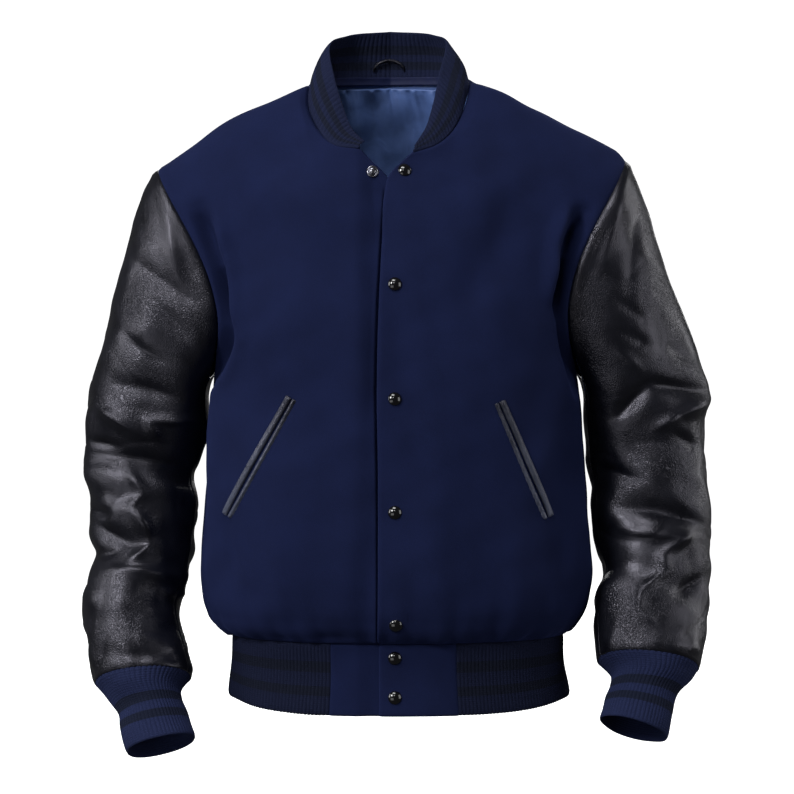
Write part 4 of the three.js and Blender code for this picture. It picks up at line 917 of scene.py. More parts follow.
def sleeve_points(side, first, last, columns, sizes):
    """Part of a sleeve between two turns, with its folds, small wrinkles that gather at the elbow
    and the wrist, a raised ridge beside the armhole seam and gathers above the cuff."""
    rows = SLEEVES[side]
    length = rows["key"][-1]
    turn, drop = np.meshgrid(
        np.linspace(first, last, columns), length * np.linspace(0, 1, 200) ** 1.04, indexing="ij")
    points = tube_point(rows, side, turn, drop)
    sign = side_sign(side)
    normals = normals_of(points) * sign
    start, end, top, low = edge_distances(points)
    seam = np.minimum(start, end)
    inside = ease(0, 14, top) * ease(0, 12, low) * mix(0.45, 1.0, ease(0, 12, seam))
    seed = SEEDS[f"sleeve_{side}"]
    placed = fold_heights(SLEEVE_FOLDS[side], points, normals, sign, LEATHER_CRISP)
    height = LEATHER_FOLD * sizes.folds * placed * inside
    height += uneven(points, "sleeve_long", seed) * inside
    busy = mix(0.35, 1.0, ease(CRUMPLE_FROM, CRUMPLE_TO, drop)) * inside * sizes.wrinkles
    small = crumple(points * (0.75, 1, 1.7), CRUMPLE_LENGTH, seed + 3)
    height -= CRUMPLE_HEIGHT * busy * (small - 0.3)
    height += busy * uneven(points * (1, 1, 1.5), "sleeve_short", seed + 9)
    shoulder = ease(-0.4, 0.3, np.cos(turn))
    height += 1.6 * shoulder * bell(top - 7, 5)
    height += gathers(start, low, seed + 1, "wrist") * ease(0, 5, low)
    height += seam_valley(top, "armhole") + seam_valley(low, "wrist")
    height += seam_valley(seam, "sleeve")
    return points + normals * height[..., None]


class JACKET_OT_sleeves(bpy.types.Operator):
    """Adds the leather sleeves: an upper and an under piece each."""

    bl_idname = "jacket.sleeves"
    bl_label = "Leather sleeves"

    def execute(self, context):
        sizes = context.scene.jacket_sizes
        leather = leather_material(context)
        pieces = {"upper": (-BACK_SEAM, FRONT_SEAM, 118),
                  "under": (FRONT_SEAM, 2 * math.pi - BACK_SEAM, 40)}
        for side in ("right", "left"):
            sign = side_sign(side)
            for kind, (first, last, columns) in pieces.items():
                name = f"sleeve_{side}_{kind}"
                points = sleeve_points(side, first, last, columns, sizes)
                normals = normals_of(points) * sign
                inner = points - normals * sizes.leather / MM
                mesh = grid_mesh(name, points, inner, flip=sign < 0)
                thing = stand_for(add_object(f"leather_{name}", mesh, leather), name)
        return {"FINISHED"}


def edge_roll(distance, edge):
    """Knit edge that rolls inwards, most at the edge itself."""
    depth, reach = ROLLS[edge]
    return -depth * np.exp(-distance / reach)


def ribs(count, columns, height):
    """Rounded ribs with narrow grooves between them, from -height in a groove to 0 on a rib."""
    share = np.linspace(0, 1, columns)
    return -height * (1 - np.abs(np.sin(np.pi * count * share)) ** 0.7)


def band_point(x, face, up):
    """Point of the hem band, which hangs a little lower at the front."""
    z = mix(BAND_BOTTOM_Z, HEM_SEAM_Z, up) + 0 * x
    point = section_point(BAND, face, x, z)
    point[..., 2] -= BAND_DROOP * ease(-40, -120, point[..., 1]) * (1 - up)
    return point


def band_route(up):
    """Polyline of the hem band at a height, from the right tab round the back to the left one."""
    lines = []
    for side in ("right", "left"):
        seam_half = curve(BAND, side, np.float64(HEM_SEAM_Z))
        first = math.asin((abs(TAB_END[side]) / seam_half) ** (BODY_ROUND / 2))
        angle = np.linspace(first, np.pi, 400)
        half = curve(BAND, side, mix(BAND_BOTTOM_Z, HEM_SEAM_Z, up))
        x = side_sign(side) * half * np.abs(np.sin(angle)) ** (2 / BODY_ROUND)
        x[-1] = 0
        front, back = band_point(x, -1, up), band_point(x, 1, up)
        lines.append(np.where((angle < np.pi / 2)[:, None], front, back))
    return np.concatenate((lines[0], lines[1][::-1][1:]))


def hem_rib_points(columns, rows):
    """Hem band as a grid: even steps along its route at each height."""
    grid = []
    for up in rows:
        route = band_route(up)
        run = runs(route, 0)
        even = np.linspace(0, run[-1], columns)
        grid.append(np.stack([np.interp(even, run, route[:, k]) for k in range(3)], axis=-1))
    points = np.stack(grid, axis=1)
    points[:, -1, 2] -= SEAM_GAP
    return points


def tab_points(side):
    """Wool tab of the hem band from its free edge to the rib, with its seams' valleys."""
    sign = side_sign(side)
    rows = np.linspace(0, 1, 30)
    z = mix(BAND_BOTTOM_Z, HEM_SEAM_Z, rows)
    flare = curve(BAND, side, z) / curve(BAND, side, np.float64(HEM_SEAM_Z))
    part = np.linspace(0, 1, 40)[:, None]
    x = mix(-sign * TAB_REACH, (TAB_END[side] - sign * SEAM_GAP) * flare, part)
    points = band_point(x, -1, rows + 0 * x)
    if side == "right":
        points = underlap(points)
    _, end, _, top = edge_distances(points)
    height = seam_valley(top, "band") + seam_valley(end, "tab")
    height += uneven(points, "tab", SEEDS["hem_tab"]) * ease(0, 8, end) * ease(0, 8, top)
    return points + normals_of(points) * sign * height[..., None]


class JACKET_OT_hem(bpy.types.Operator):
    """Adds the hem band: two wool tabs and the striped rib between them."""

    bl_idname = "jacket.hem"
    bl_label = "Hem band"

    def execute(self, context):
        sizes = context.scene.jacket_sizes
        wool = wool_material(context)
        for side in ("right", "left"):
            sign = side_sign(side)
            points = tab_points(side)
            normals = normals_of(points) * sign
            name = f"hem_tab_{side}"
            surfaces[name] = (points, normals)
            mesh = grid_mesh(name, points, points - normals * sizes.wool / MM, flip=sign < 0)
            thing = stand_for(add_object(f"wool_{name}", mesh, wool), name)

        rows = np.linspace(0, 1, 26)
        length = runs(band_route(0.5), 0)[-1]
        count = round(length / (sizes.rib_pitch / MM))
        columns = count * HEM_RIB_COLUMNS + 1
        points = hem_rib_points(columns, rows)
        normals = -normals_of(points)
        start, end, low, top = edge_distances(points)
        puff = 0.9 * np.sin(np.pi * rows) + uneven(points, "hem", SEEDS["hem_rib"])
        puff = puff * ease(0, 10, np.minimum(start, end))
        roll = edge_roll(low, "hem_low") + edge_roll(top, "hem_top")
        lift = ribs(count, columns, sizes.rib_height / MM)[:, None] * ease(0, 3, top) + puff + roll
        outer = points + normals * lift[..., None]
        inner = points - normals * sizes.knit / MM
        along = start[:, len(rows) // 2]
        mesh = grid_mesh("hem_rib", outer, inner, flip=True, uv=(along, rows * HEM_HEIGHT))
        knit = knit_material(context, "Hem")
        thing = stand_for(add_object("knit_hem_rib", mesh, knit), "hem_rib")
        return {"FINISHED"}


def away_from_neck(points):
    """Level unit directions out to points from the upright line through the neck's middle."""
    out = points - np.array(NECK_MIDDLE)
    out[..., 2] = 0
    return unit(out)


def collar_points(part, up):
    """Collar from the neck seam to its top edge: a straight line between them with a swell
    outwards that is greatest at half the height."""
    side_way = np.where(part <= 0.5, part, 1 - part) * 4
    foot = np.where((part <= 0.5)[..., None], neck_point("right", side_way),
                    neck_point("left", side_way))
    top = np.where((part <= 0.5)[..., None], neck_point("right", side_way, True),
                   neck_point("left", side_way, True))
    height = np.linalg.norm(top - foot, axis=-1, keepdims=True)
    swell = 0.1 * height * np.sin(np.pi * up[..., None])
    return mix(foot, top, up[..., None]) + away_from_neck(foot) * swell


class JACKET_OT_collar(bpy.types.Operator):
    """Adds the striped rib collar."""

    bl_idname = "jacket.collar"
    bl_label = "Collar"

    def execute(self, context):
        sizes = context.scene.jacket_sizes
        columns = COLLAR_RIBS * RIB_COLUMNS + 1
        rows = np.linspace(0, 1, 30)
        part, up = np.meshgrid(np.linspace(0, 1, columns), rows, indexing="ij")
        points = collar_points(part, up)
        normals = -normals_of(points)
        start, _, low, top = edge_distances(points)
        fade = ease(0, 4, low) * ease(0, 3, top)
        lift = ribs(COLLAR_RIBS, columns, sizes.rib_height / MM)[:, None] * fade
        soft = uneven(points, "collar", SEEDS["collar"]) * ease(0, 8, top) * ease(0, 8, low)
        roll = edge_roll(top, "collar")
        outer = points + normals * (lift + soft + roll)[..., None]
        outer[..., 2] += 0.5 * (1 - up)
        inner = points - normals * (sizes.knit / MM - soft + lift)[..., None]
        along = start[:, len(rows) // 2]
        mesh = grid_mesh("collar", outer, inner, flip=True, uv=(along, rows * COLLAR_HEIGHT))
        knit = knit_material(context, "Collar")
        thing = stand_for(add_object("knit_collar", mesh, knit), "collar")
        return {"FINISHED"}


class JACKET_OT_cuffs(bpy.types.Operator):
    """Adds the two striped rib cuffs."""

    bl_idname = "jacket.cuffs"
    bl_label = "Cuffs"

    def execute(self, context):
        sizes = context.scene.jacket_sizes
        knit = knit_material(context, "Cuff")
        columns = CUFF_RIBS * RIB_COLUMNS
        rows = np.linspace(0, 1, 34)
        for side in ("right", "left"):
            length = CUFFS[side]["key"][-1]
            turn, drop = np.meshgrid(
                2 * np.pi * np.arange(columns) / columns, length * (1 - rows), indexing="ij")
            points = tube_point(CUFFS[side], side, turn, drop)
            sign = side_sign(side)
            normals = -normals_of(points, closed=True) * sign
            start, _, low, top = edge_distances(points)
            lift = ribs(CUFF_RIBS, columns + 1, sizes.rib_height / MM)[:-1, None]
            lift = lift * ease(0, 3, low)
            soft = uneven(points, "cuff", SEEDS[f"cuff_{side}"]) * ease(0, 14, top)
            roll = edge_roll(low, "cuff")
            outer = points + normals * (lift + soft + roll)[..., None]
            inner = points - normals * (sizes.knit / MM - soft)[..., None]
            along = start[:, len(rows) // 2]
            along = np.append(along, along[-1] + 4)
            mesh = grid_mesh("cuff", outer, inner, closed=True, flip=sign > 0,
                             uv=(along, rows * CUFF_HEIGHT))
            name = f"cuff_{side}"
            thing = stand_for(add_object(f"knit_{name}", mesh, knit), name)
        return {"FINISHED"}


def lining_points(sizes):
    """Back lining: the back panel's upper part, moved inwards so far that the wool's folds don't
    reach it, with small and large pleats that hang from its top and an uneven drape."""
    columns = np.linspace(0, 8 / 11, 110)
    rows = 1 + np.linspace(4 / 11, 10 / 11, 64)
    halves = [panel_points(side, 1, columns, rows) for side in ("right", "left")]
    points = np.concatenate((halves[0][::-1], halves[1][1:]))
    normals = normals_of(points)
    behind = drape_heights(points, -normals, sizes.folds, SEEDS["back"])
    away = sizes.wool / MM + LINING_GAP + np.maximum(-behind, 0)
    points = points + normals * away[..., None]
    start, end, low, top = edge_distances(points)
    seed = SEEDS["lining"]
    pleats = gathers(start, top, seed, "lining_small") * ease(0, 3, top)
    pleats += gathers(start, top, seed + 1, "lining_large") * ease(0, 20, top)
    drape = uneven(points * (1, 1, 0.35), "lining", seed + 4)
    inside = ease(0, 12, np.minimum(start, end)) * ease(0, 12, low)
    return points + normals * ((1.6 + np.maximum(pleats + drape, -3.2)) * inside)[..., None]


def tape_points():
    """Neck tape over the collar's seam at the back, slightly hollow and uneven, with the
    directions in which it faces."""
    part, up = np.meshgrid(np.linspace(0.3, 0.7, 120), np.linspace(0, 1, 9), indexing="ij")
    seam = collar_points(part, 0 * up)
    normals = -away_from_neck(seam)
    points = seam + normals * TAPE_GAP
    points[..., 2] += mix(-TAPE_HALF, TAPE_HALF, up)
    height = uneven(points, "tape", SEEDS["neck_tape"]) - 0.5 * np.sin(np.pi * up)
    return points + normals * height[..., None], normals


def loop_points():
    """Hanger loop: a strip that arches up the collar's inside and stands off it at its middle,
    with the directions in which it faces."""
    angle, width = np.meshgrid(np.linspace(0, np.pi, 60), np.linspace(0, 1, 9), indexing="ij")
    part = LOOP_MIDDLE - LOOP_REACH * np.cos(angle)
    seam = collar_points(part, 0.2 + 0.2 * np.sin(angle) + width * 0.05)
    normals = -away_from_neck(seam)
    height = LOOP_GAP + 0.9 * np.sin(np.pi * width) + 2 * np.sin(angle)
    return seam + normals * height[..., None], normals


class JACKET_OT_inside(bpy.types.Operator):
    """Adds what shows through the neck: satin lining, neck tape and hanger loop."""

    bl_idname = "jacket.inside"
    bl_label = "Neck inside"

    def execute(self, context):
        sizes = context.scene.jacket_sizes
        thick = sizes.satin / MM
        satin, tape = satin_material(context), satin_material(context, "tape")
        leather = leather_material(context)

        points = lining_points(sizes)
        mesh = grid_mesh("lining_back", points, points - normals_of(points) * thick)
        thing = stand_for(add_object("satin_lining_back", mesh, satin), "lining_back")

        points, normals = tape_points()
        mesh = grid_mesh("neck_tape", points, points - normals * thick)
        thing = stand_for(add_object("satin_neck_tape", mesh, tape), "neck_tape")

        points, normals = loop_points()
        mesh = grid_mesh("hanger_loop", points, points - normals * LOOP_THICK)
        stand_for(add_object("leather_hanger_loop", mesh, leather), "hanger_loop")
        return {"FINISHED"}


def nearest(name, x, z):
    """Point and normal of a kept surface under places seen from the front, from the three nearest
    grid points weighted by closeness."""
    points, normals = surfaces[name]
    flat, ways = points.reshape(-1, 3), normals.reshape(-1, 3)
    places = np.stack((np.ravel(x), np.ravel(z)), axis=-1)
    away = ((flat[None, :, 0] - places[:, :1]) ** 2 + (flat[None, :, 2] - places[:, 1:]) ** 2)
    pick = np.argpartition(away, 3, axis=1)[:, :3]
    weight = 1 / (np.take_along_axis(away, pick, axis=1) + 0.05)
    weight = weight / weight.sum(axis=1, keepdims=True)
    depth = (flat[pick, 1] * weight).sum(axis=1)
    way = unit((ways[pick] * weight[..., None]).sum(axis=1))
    point = np.stack((places[:, 0], depth, places[:, 1]), axis=-1)
    return point.reshape(*np.shape(x), 3), way.reshape(*np.shape(x), 3)


def welt_points(side, kind):
    """Outer and inner surface of a pocket welt, with the places along and across it. The welt is
    a rounded strip on the front, stitched down at its far edge; the two part a little at their
    middle, and the inner one goes down into the slit."""
    x0, z0, x1, z1 = POCKETS[side]
    length = math.hypot(x1 - x0, z1 - z0)
    run = np.array((x1 - x0, z1 - z0)) / length
    aside = np.array((-run[1], run[0])) * side_sign(side)
    away = 1.0 if kind == "outer" else -1.0
    along, across = np.meshgrid(
        np.linspace(0, length, 100), np.linspace(-1, 1, 15), indexing="ij")
    gap = 0.7 * np.sin(np.pi * np.clip(1 - along / length, 0, 1) ** 0.6)
    out = away * WELT_MIDDLE + across * WELT_HALF + away * gap
    x = x0 + run[0] * along + aside[0] * out
    z = z0 + run[1] * along + aside[1] * out
    points, normals = nearest(f"front_{side}", x, z)
    soft = sum(np.roll(normals, k, axis=0) for k in (-2, -1, 0, 1, 2))
    normals = unit(mix(unit(soft), normals, 0.3))
    crown = WELT_CROWN * np.sqrt(np.clip(1 - across**2, 0, 1))
    stitched = -0.5 * bell(across * away - 0.62, 0.16)
    ends = ease(0, 2, along) * ease(0, 2, length - along)
    lift = WELT_LIFT + (crown + stitched) * mix(0.6, 1.0, ends)
    if kind == "inner":
        lift = lift - 3.4 * ease(0.25, -0.55, across)
    outer = points + normals * lift[..., None]
    inner = points + normals * np.minimum(0.15, lift - 1.2)[..., None]
    return outer, inner, along, across


class JACKET_OT_pockets(bpy.types.Operator):
    """Adds the slanted pockets' leather welts."""

    bl_idname = "jacket.pockets"
    bl_label = "Pocket welts"

    def execute(self, context):
        leather = leather_material(context, "welt")
        for side, (x0, z0, x1, z1) in POCKETS.items():
            for kind in ("outer", "inner"):
                outer, inner, along, across = welt_points(side, kind)
                facing = np.mean(normals_of(outer)[..., 1]) < 0
                mesh = grid_mesh(f"welt_{side}_{kind}", outer, inner, flip=not facing,
                                 uv=(along[:, 0], WELT_HALF * (1 + across[0])))
                name = f"pocket_welt_{side}_{kind}"
                thing = stand_for(add_object(f"leather_{name}", mesh, leather), name)
        return {"FINISHED"}


def turned_mesh(name, profile, sides):
    """Surface of revolution of a profile of radius and height, its ends on the axis."""
    radius, height = (np.array(values, dtype=float) for values in zip(*profile))
    angle = 2 * np.pi * np.arange(sides) / sides
    ring = np.stack((np.cos(angle)[:, None] * radius[None, 1:-1],
                     np.sin(angle)[:, None] * radius[None, 1:-1],
                     0 * angle[:, None] + height[None, 1:-1]), axis=-1)
    rings = ring.shape[1]
    points = np.concatenate((ring.reshape(-1, 3), ((0, 0, height[0]), (0, 0, height[-1]))))
    i = np.arange(sides)
    after = (i + 1) % sides
    j = np.arange(rings - 1)
    a = (i[:, None] * rings + j).ravel()
    b = (after[:, None] * rings + j).ravel()
    quads = np.stack((a, b, b + 1, a + 1), axis=1)
    low, high = sides * rings, sides * rings + 1
    caps = np.concatenate((
        np.stack((after * rings, i * rings, np.full(sides, low)), axis=1),
        np.stack((i * rings + rings - 1, after * rings + rings - 1, np.full(sides, high)), axis=1)))
    split = np.concatenate((quads[:, [0, 1, 2]], quads[:, [0, 2, 3]], caps))
    return make_mesh(name, points * MM, split)


def dome(radius, height, steps=16):
    """Profile of a cap: part of a ball above a small rounded rim."""
    rim = [(0, 0), (radius * 0.93, 0), (radius * 0.99, 0.2), (radius, 0.5)]
    rise, reach = height - 0.8, radius * 0.985
    ball = (reach**2 + rise**2) / (2 * rise)
    spread = np.linspace(math.asin(reach / ball), 0, steps)
    bell = [(ball * math.sin(a), height - ball * (1 - math.cos(a))) for a in spread[:-1]]
    return rim + bell + [(0, height)]


# Profile of the open snap's stud: radius and height, from its base to its head
STUD_PROFILE = [
    (0, 0), (6.0, 0), (6.2, 0.25), (6.2, 0.6), (5.9, 0.95), (5.4, 1.15), (4.9, 1.1), (4.4, 0.8),
    (4.0, 0.5), (3.5, 0.45), (3.2, 0.7), (3.15, 1.6), (3.3, 2.3), (3.25, 2.8), (2.9, 3.3),
    (2.2, 3.6), (1.2, 3.75), (0, 3.8),
]


def set_on(mesh, sheet, x, z):
    """Moves a turned mesh onto a kept surface: its axis is square to the ring of cloth round the
    place, and its base just clears the ring's highest point."""
    angle = np.linspace(0, 2 * np.pi, 24, endpoint=False)
    ring, _ = nearest(sheet, x + SNAP_SEAT * np.cos(angle), z + SNAP_SEAT * np.sin(angle))
    middle = ring.mean(axis=0)
    normal = unit(np.cross(ring[0] - ring[12], ring[6] - ring[18]))
    lift = max(0.0, float(((ring - middle) @ normal).max())) + 0.15
    turn = Vector(normal).to_track_quat("Z", "Y").to_matrix().to_4x4()
    turn.translation = Vector((middle + normal * lift) * MM)
    mesh.transform(turn)


class JACKET_OT_snaps(bpy.types.Operator):
    """Adds the snap caps and the open snap's stud."""

    bl_idname = "jacket.snaps"
    bl_label = "Snaps"

    def execute(self, context):
        cap, stud = cap_material(context), stud_material(context)
        for k, (x, z) in enumerate(SNAP_CAPS):
            sheet = "front_left" if z > HEM_SEAM_Z else "hem_tab_left"
            name = f"snap_cap_{k + 1}"
            mesh = turned_mesh(name, dome(CAP_RADIUS, CAP_HEIGHT), 48)
            set_on(mesh, sheet, x, z)
            stand_for(add_object(f"metal_{name}", mesh, cap), name)
        mesh = turned_mesh("snap_stud", STUD_PROFILE, 48)
        set_on(mesh, "front_right", *SNAP_STUD)
        stand_for(add_object("metal_snap_stud", mesh, stud), "snap_stud")
        return {"FINISHED"}


# Materials

# Real sizes of the patterns, as millimetres from one repeat to the next. The wool's and the
# knit's fibres, the satin's twill and the wear on the metal are finer on a real jacket, and are
# drawn as coarse as they need to show.
PATTERNS = {
    "wool_fibre": 1.111, "wool_cloud": 38.46, "leather_warp": 6.25, "leather_grain": 2.174,
    "leather_crease": 20.83, "leather_patch": 71.43, "knit_fuzz": 0.909, "knit_row": 1.904,
    "satin_twill": 0.698, "satin_crush": 18.18, "cap_wear": 2.0, "stud_wear": 1.429,
}

# Radians that a wave of scale 1 goes through in a unit across its bands
BAND_TURN, DIAGONAL_TURN = 20.0, 10 * math.sqrt(3)


def noise_scale(pattern):
    """Scale of a noise or cell pattern in metres that gives it its real size."""
    return 1 / (PATTERNS[pattern] * MM)


def wave_scale(pattern, turn):
    """Scale of a wave pattern in metres that gives its bands their real spacing."""
    return 2 * math.pi / (turn * PATTERNS[pattern] * MM)


def add(tree, kind, inputs=None, stops=(), steps=False, **settings):
    """Adds a node with its settings; an input takes a value or another node's output. A colour
    ramp also takes its stops, and steps if it doesn't blend between them."""
    node = tree.nodes.new(kind)
    for name, value in settings.items():
        setattr(node, name, value)
    if stops:
        bar = node.color_ramp
        bar.interpolation = "CONSTANT" if steps else "LINEAR"
        while len(bar.elements) < len(stops):
            bar.elements.new(1.0)
        for element, (place, colour) in zip(bar.elements, stops):
            element.position = place
            element.color = colour
    for name, value in (inputs or {}).items():
        if isinstance(value, bpy.types.NodeSocket):
            tree.links.new(value, node.inputs[name])
        else:
            node.inputs[name].default_value = value
    return node


def new_material(name):
    """Empty material with its output node, or the one made before."""
    made = bpy.data.materials.get(name)
    if made is not None:
        return made, None, None
    made = bpy.data.materials.new(name)
    made.use_nodes = True
    made.node_tree.nodes.clear()
    output = add(made.node_tree, "ShaderNodeOutputMaterial")
    return made, made.node_tree, output


def rgba(colour, factor=1.0):
    """Colour with full alpha, made lighter or darker by a factor."""
    return (*[min(1.0, c * factor) for c in colour], 1.0)


def grey(level):
    """Linear grey with full alpha."""
    return (level, level, level, 1.0)


def wool_material(context):
    """Wool melton, milled and brushed: a matt navy with a short nap that catches light at the
    turning edges, and fine lighter and darker fibres."""
    made, tree, output = new_material("Wool melton, brushed nap")
    if tree is None:
        return made
    colour = context.scene.jacket_colours.wool
    place = add(tree, "ShaderNodeTexCoord").outputs["Object"]
    fibre = add(tree, "ShaderNodeTexNoise", {
        "Vector": place, "Scale": noise_scale("wool_fibre"), "Detail": 5.0, "Roughness": 0.7,
        "Distortion": 0.6})
    cloud = add(tree, "ShaderNodeTexNoise", {
        "Vector": place, "Scale": noise_scale("wool_cloud"), "Detail": 3.0, "Roughness": 0.5})
    tone = add(tree, "ShaderNodeValToRGB", {"Fac": fibre.outputs["Fac"]}, stops=[
        (0.30, rgba(colour, 0.74)), (0.62, rgba(colour, 1.0)), (0.80, rgba(colour, 1.5))])
    soft = add(tree, "ShaderNodeValToRGB", {"Fac": cloud.outputs["Fac"]}, stops=[
        (0.3, grey(0.88)), (0.7, grey(1.06))])
    mixed = add(tree, "ShaderNodeMix", {
        "Factor": 1.0, "A": tone.outputs["Color"], "B": soft.outputs["Color"]},
        data_type="RGBA", blend_type="MULTIPLY")
    bump = add(tree, "ShaderNodeBump", {
        "Height": fibre.outputs["Fac"], "Strength": 0.35, "Distance": 0.0006})
    shader = add(tree, "ShaderNodeBsdfPrincipled", {
        "Base Color": mixed.outputs["Result"], "Roughness": 0.95, "Specular IOR Level": 0.12,
        "Sheen Weight": 0.26, "Sheen Roughness": 0.45, "Sheen Tint": rgba(colour, 5.0),
        "Normal": bump.outputs["Normal"]})
    tree.links.new(shader.outputs["BSDF"], output.inputs["Surface"])
    return made


def leather_material(context, kind="leather"):
    """Sheep leather, drum-dyed and lightly finished: near-black with a pebbled grain, stronger
    in some patches, fine creases, and a soft semi-gloss that comes and goes with them. The
    pocket welts' grey is the leather lightened as a painted highlight; it is darker towards
    their upper ends and lighter towards the lower ones."""
    name = {"leather": "Leather, grained semi-gloss", "welt": "Leather, rubbed on the fold"}
    made, tree, output = new_material(name[kind])
    if tree is None:
        return made
    colour = getattr(context.scene.jacket_colours, kind)
    place = add(tree, "ShaderNodeTexCoord").outputs["Object"]
    warp = add(tree, "ShaderNodeTexNoise", {
        "Vector": place, "Scale": noise_scale("leather_warp"), "Detail": 3.0,
        "Roughness": 0.6})
    bend = add(tree, "ShaderNodeVectorMath", {0: warp.outputs["Color"], "Scale": 0.0022},
               operation="SCALE")
    bent = add(tree, "ShaderNodeVectorMath", {0: place, 1: bend.outputs["Vector"]},
               operation="ADD")
    grain = add(tree, "ShaderNodeTexVoronoi", {
        "Vector": bent.outputs["Vector"], "Scale": noise_scale("leather_grain")},
        feature="DISTANCE_TO_EDGE")
    crease = add(tree, "ShaderNodeTexNoise", {
        "Vector": place, "Scale": noise_scale("leather_crease"), "Detail": 2.0,
        "Roughness": 0.45, "Distortion": 0.5})
    patch = add(tree, "ShaderNodeTexNoise", {
        "Vector": place, "Scale": noise_scale("leather_patch"), "Detail": 2.0})
    strong = add(tree, "ShaderNodeMapRange", {
        "Value": patch.outputs["Fac"], "From Min": 0.4, "From Max": 0.62, "To Min": 0.25,
        "To Max": 0.8})
    fine = add(tree, "ShaderNodeBump", {
        "Height": grain.outputs["Distance"], "Strength": strong.outputs["Result"],
        "Distance": 0.0009})
    bump = add(tree, "ShaderNodeBump", {
        "Height": crease.outputs["Fac"], "Strength": 0.22, "Distance": 0.0018,
        "Normal": fine.outputs["Normal"]})
    rough = add(tree, "ShaderNodeMapRange", {
        "Value": crease.outputs["Fac"], "From Min": 0.3, "From Max": 0.7, "To Min": 0.27,
        "To Max": 0.38})
    tone = add(tree, "ShaderNodeValToRGB", {"Fac": crease.outputs["Fac"]}, stops=[
        (0.3, rgba(colour, 0.8)), (0.7, rgba(colour, 1.25))]).outputs["Color"]
    # The welts' lighter grey is a painted highlight; a ramp along them makes it darker towards
    # their upper ends and lighter towards the lower ones
    if kind == "welt":
        cloth = add(tree, "ShaderNodeUVMap", uv_map="cloth").outputs["UV"]
        along = add(tree, "ShaderNodeSeparateXYZ", {"Vector": cloth}).outputs["X"]
        along_ramp = add(tree, "ShaderNodeMapRange", {
            "Value": along, "From Min": 0.0, "From Max": 0.12, "To Min": 0.35, "To Max": 1.3})
        ramped_tone = add(tree, "ShaderNodeMix", {
            "Factor": 1.0, "A": tone, "B": along_ramp.outputs["Result"]},
            data_type="RGBA", blend_type="MULTIPLY")
        tone = ramped_tone.outputs["Result"]
    shader = add(tree, "ShaderNodeBsdfPrincipled", {
        "Base Color": tone, "Roughness": rough.outputs["Result"], "Specular IOR Level": 0.5,
        "Specular Tint": (0.87, 0.85, 1.0, 1.0), "Normal": bump.outputs["Normal"]})
    tree.links.new(shader.outputs["BSDF"], output.inputs["Surface"])
    return made


def knit_material(context, band):
    """Wool rib knit with darker stripes knitted in: rows of small stitches along each rib, matt
    and slightly fuzzy."""
    made, tree, output = new_material(f"Rib knit, striped, {band.lower()}")
    if tree is None:
        return made
    colours = context.scene.jacket_colours
    cloth = add(tree, "ShaderNodeUVMap", uv_map="cloth").outputs["UV"]
    share = add(tree, "ShaderNodeUVMap", uv_map="share").outputs["UV"]
    height = add(tree, "ShaderNodeSeparateXYZ", {"Vector": share}).outputs["Y"]
    place = add(tree, "ShaderNodeTexCoord").outputs["Object"]
    # Each band's two colours are lightened or darkened for how it is lit: painted light and shade
    pair = (rgba(colours.knit, KNIT_LIGHT_AND_SHADE[band]), rgba(colours.stripe, STRIPE_LIGHT_AND_SHADE[band]))
    stripe = add(tree, "ShaderNodeValToRGB", {"Fac": height}, steps=True, stops=[
        (at, pair[dark]) for at, dark in STRIPES[band]])
    fuzz = add(tree, "ShaderNodeTexNoise", {
        "Vector": place, "Scale": noise_scale("knit_fuzz"), "Detail": 3.0, "Roughness": 0.65})
    tone = add(tree, "ShaderNodeValToRGB", {"Fac": fuzz.outputs["Fac"]}, stops=[
        (0.3, grey(0.72)), (0.75, grey(1.35))])
    mixed = add(tree, "ShaderNodeMix", {
        "Factor": 1.0, "A": stripe.outputs["Color"], "B": tone.outputs["Color"]},
        data_type="RGBA", blend_type="MULTIPLY")
    stitch = add(tree, "ShaderNodeTexWave", {
        "Vector": cloth, "Scale": wave_scale("knit_row", BAND_TURN), "Distortion": 1.2,
        "Detail": 1.0, "Detail Scale": 3.0}, bands_direction="Y")
    loops = add(tree, "ShaderNodeBump", {
        "Height": stitch.outputs["Fac"], "Strength": 0.5, "Distance": 0.0005})
    bump = add(tree, "ShaderNodeBump", {
        "Height": fuzz.outputs["Fac"], "Strength": 0.3, "Distance": 0.0004,
        "Normal": loops.outputs["Normal"]})
    shader = add(tree, "ShaderNodeBsdfPrincipled", {
        "Base Color": mixed.outputs["Result"], "Roughness": 0.92, "Specular IOR Level": 0.12,
        "Sheen Weight": 0.09, "Sheen Roughness": 0.5, "Sheen Tint": rgba(colours.knit, 5.0),
        "Normal": bump.outputs["Normal"]})
    tree.links.new(shader.outputs["BSDF"], output.inputs["Surface"])
    return made


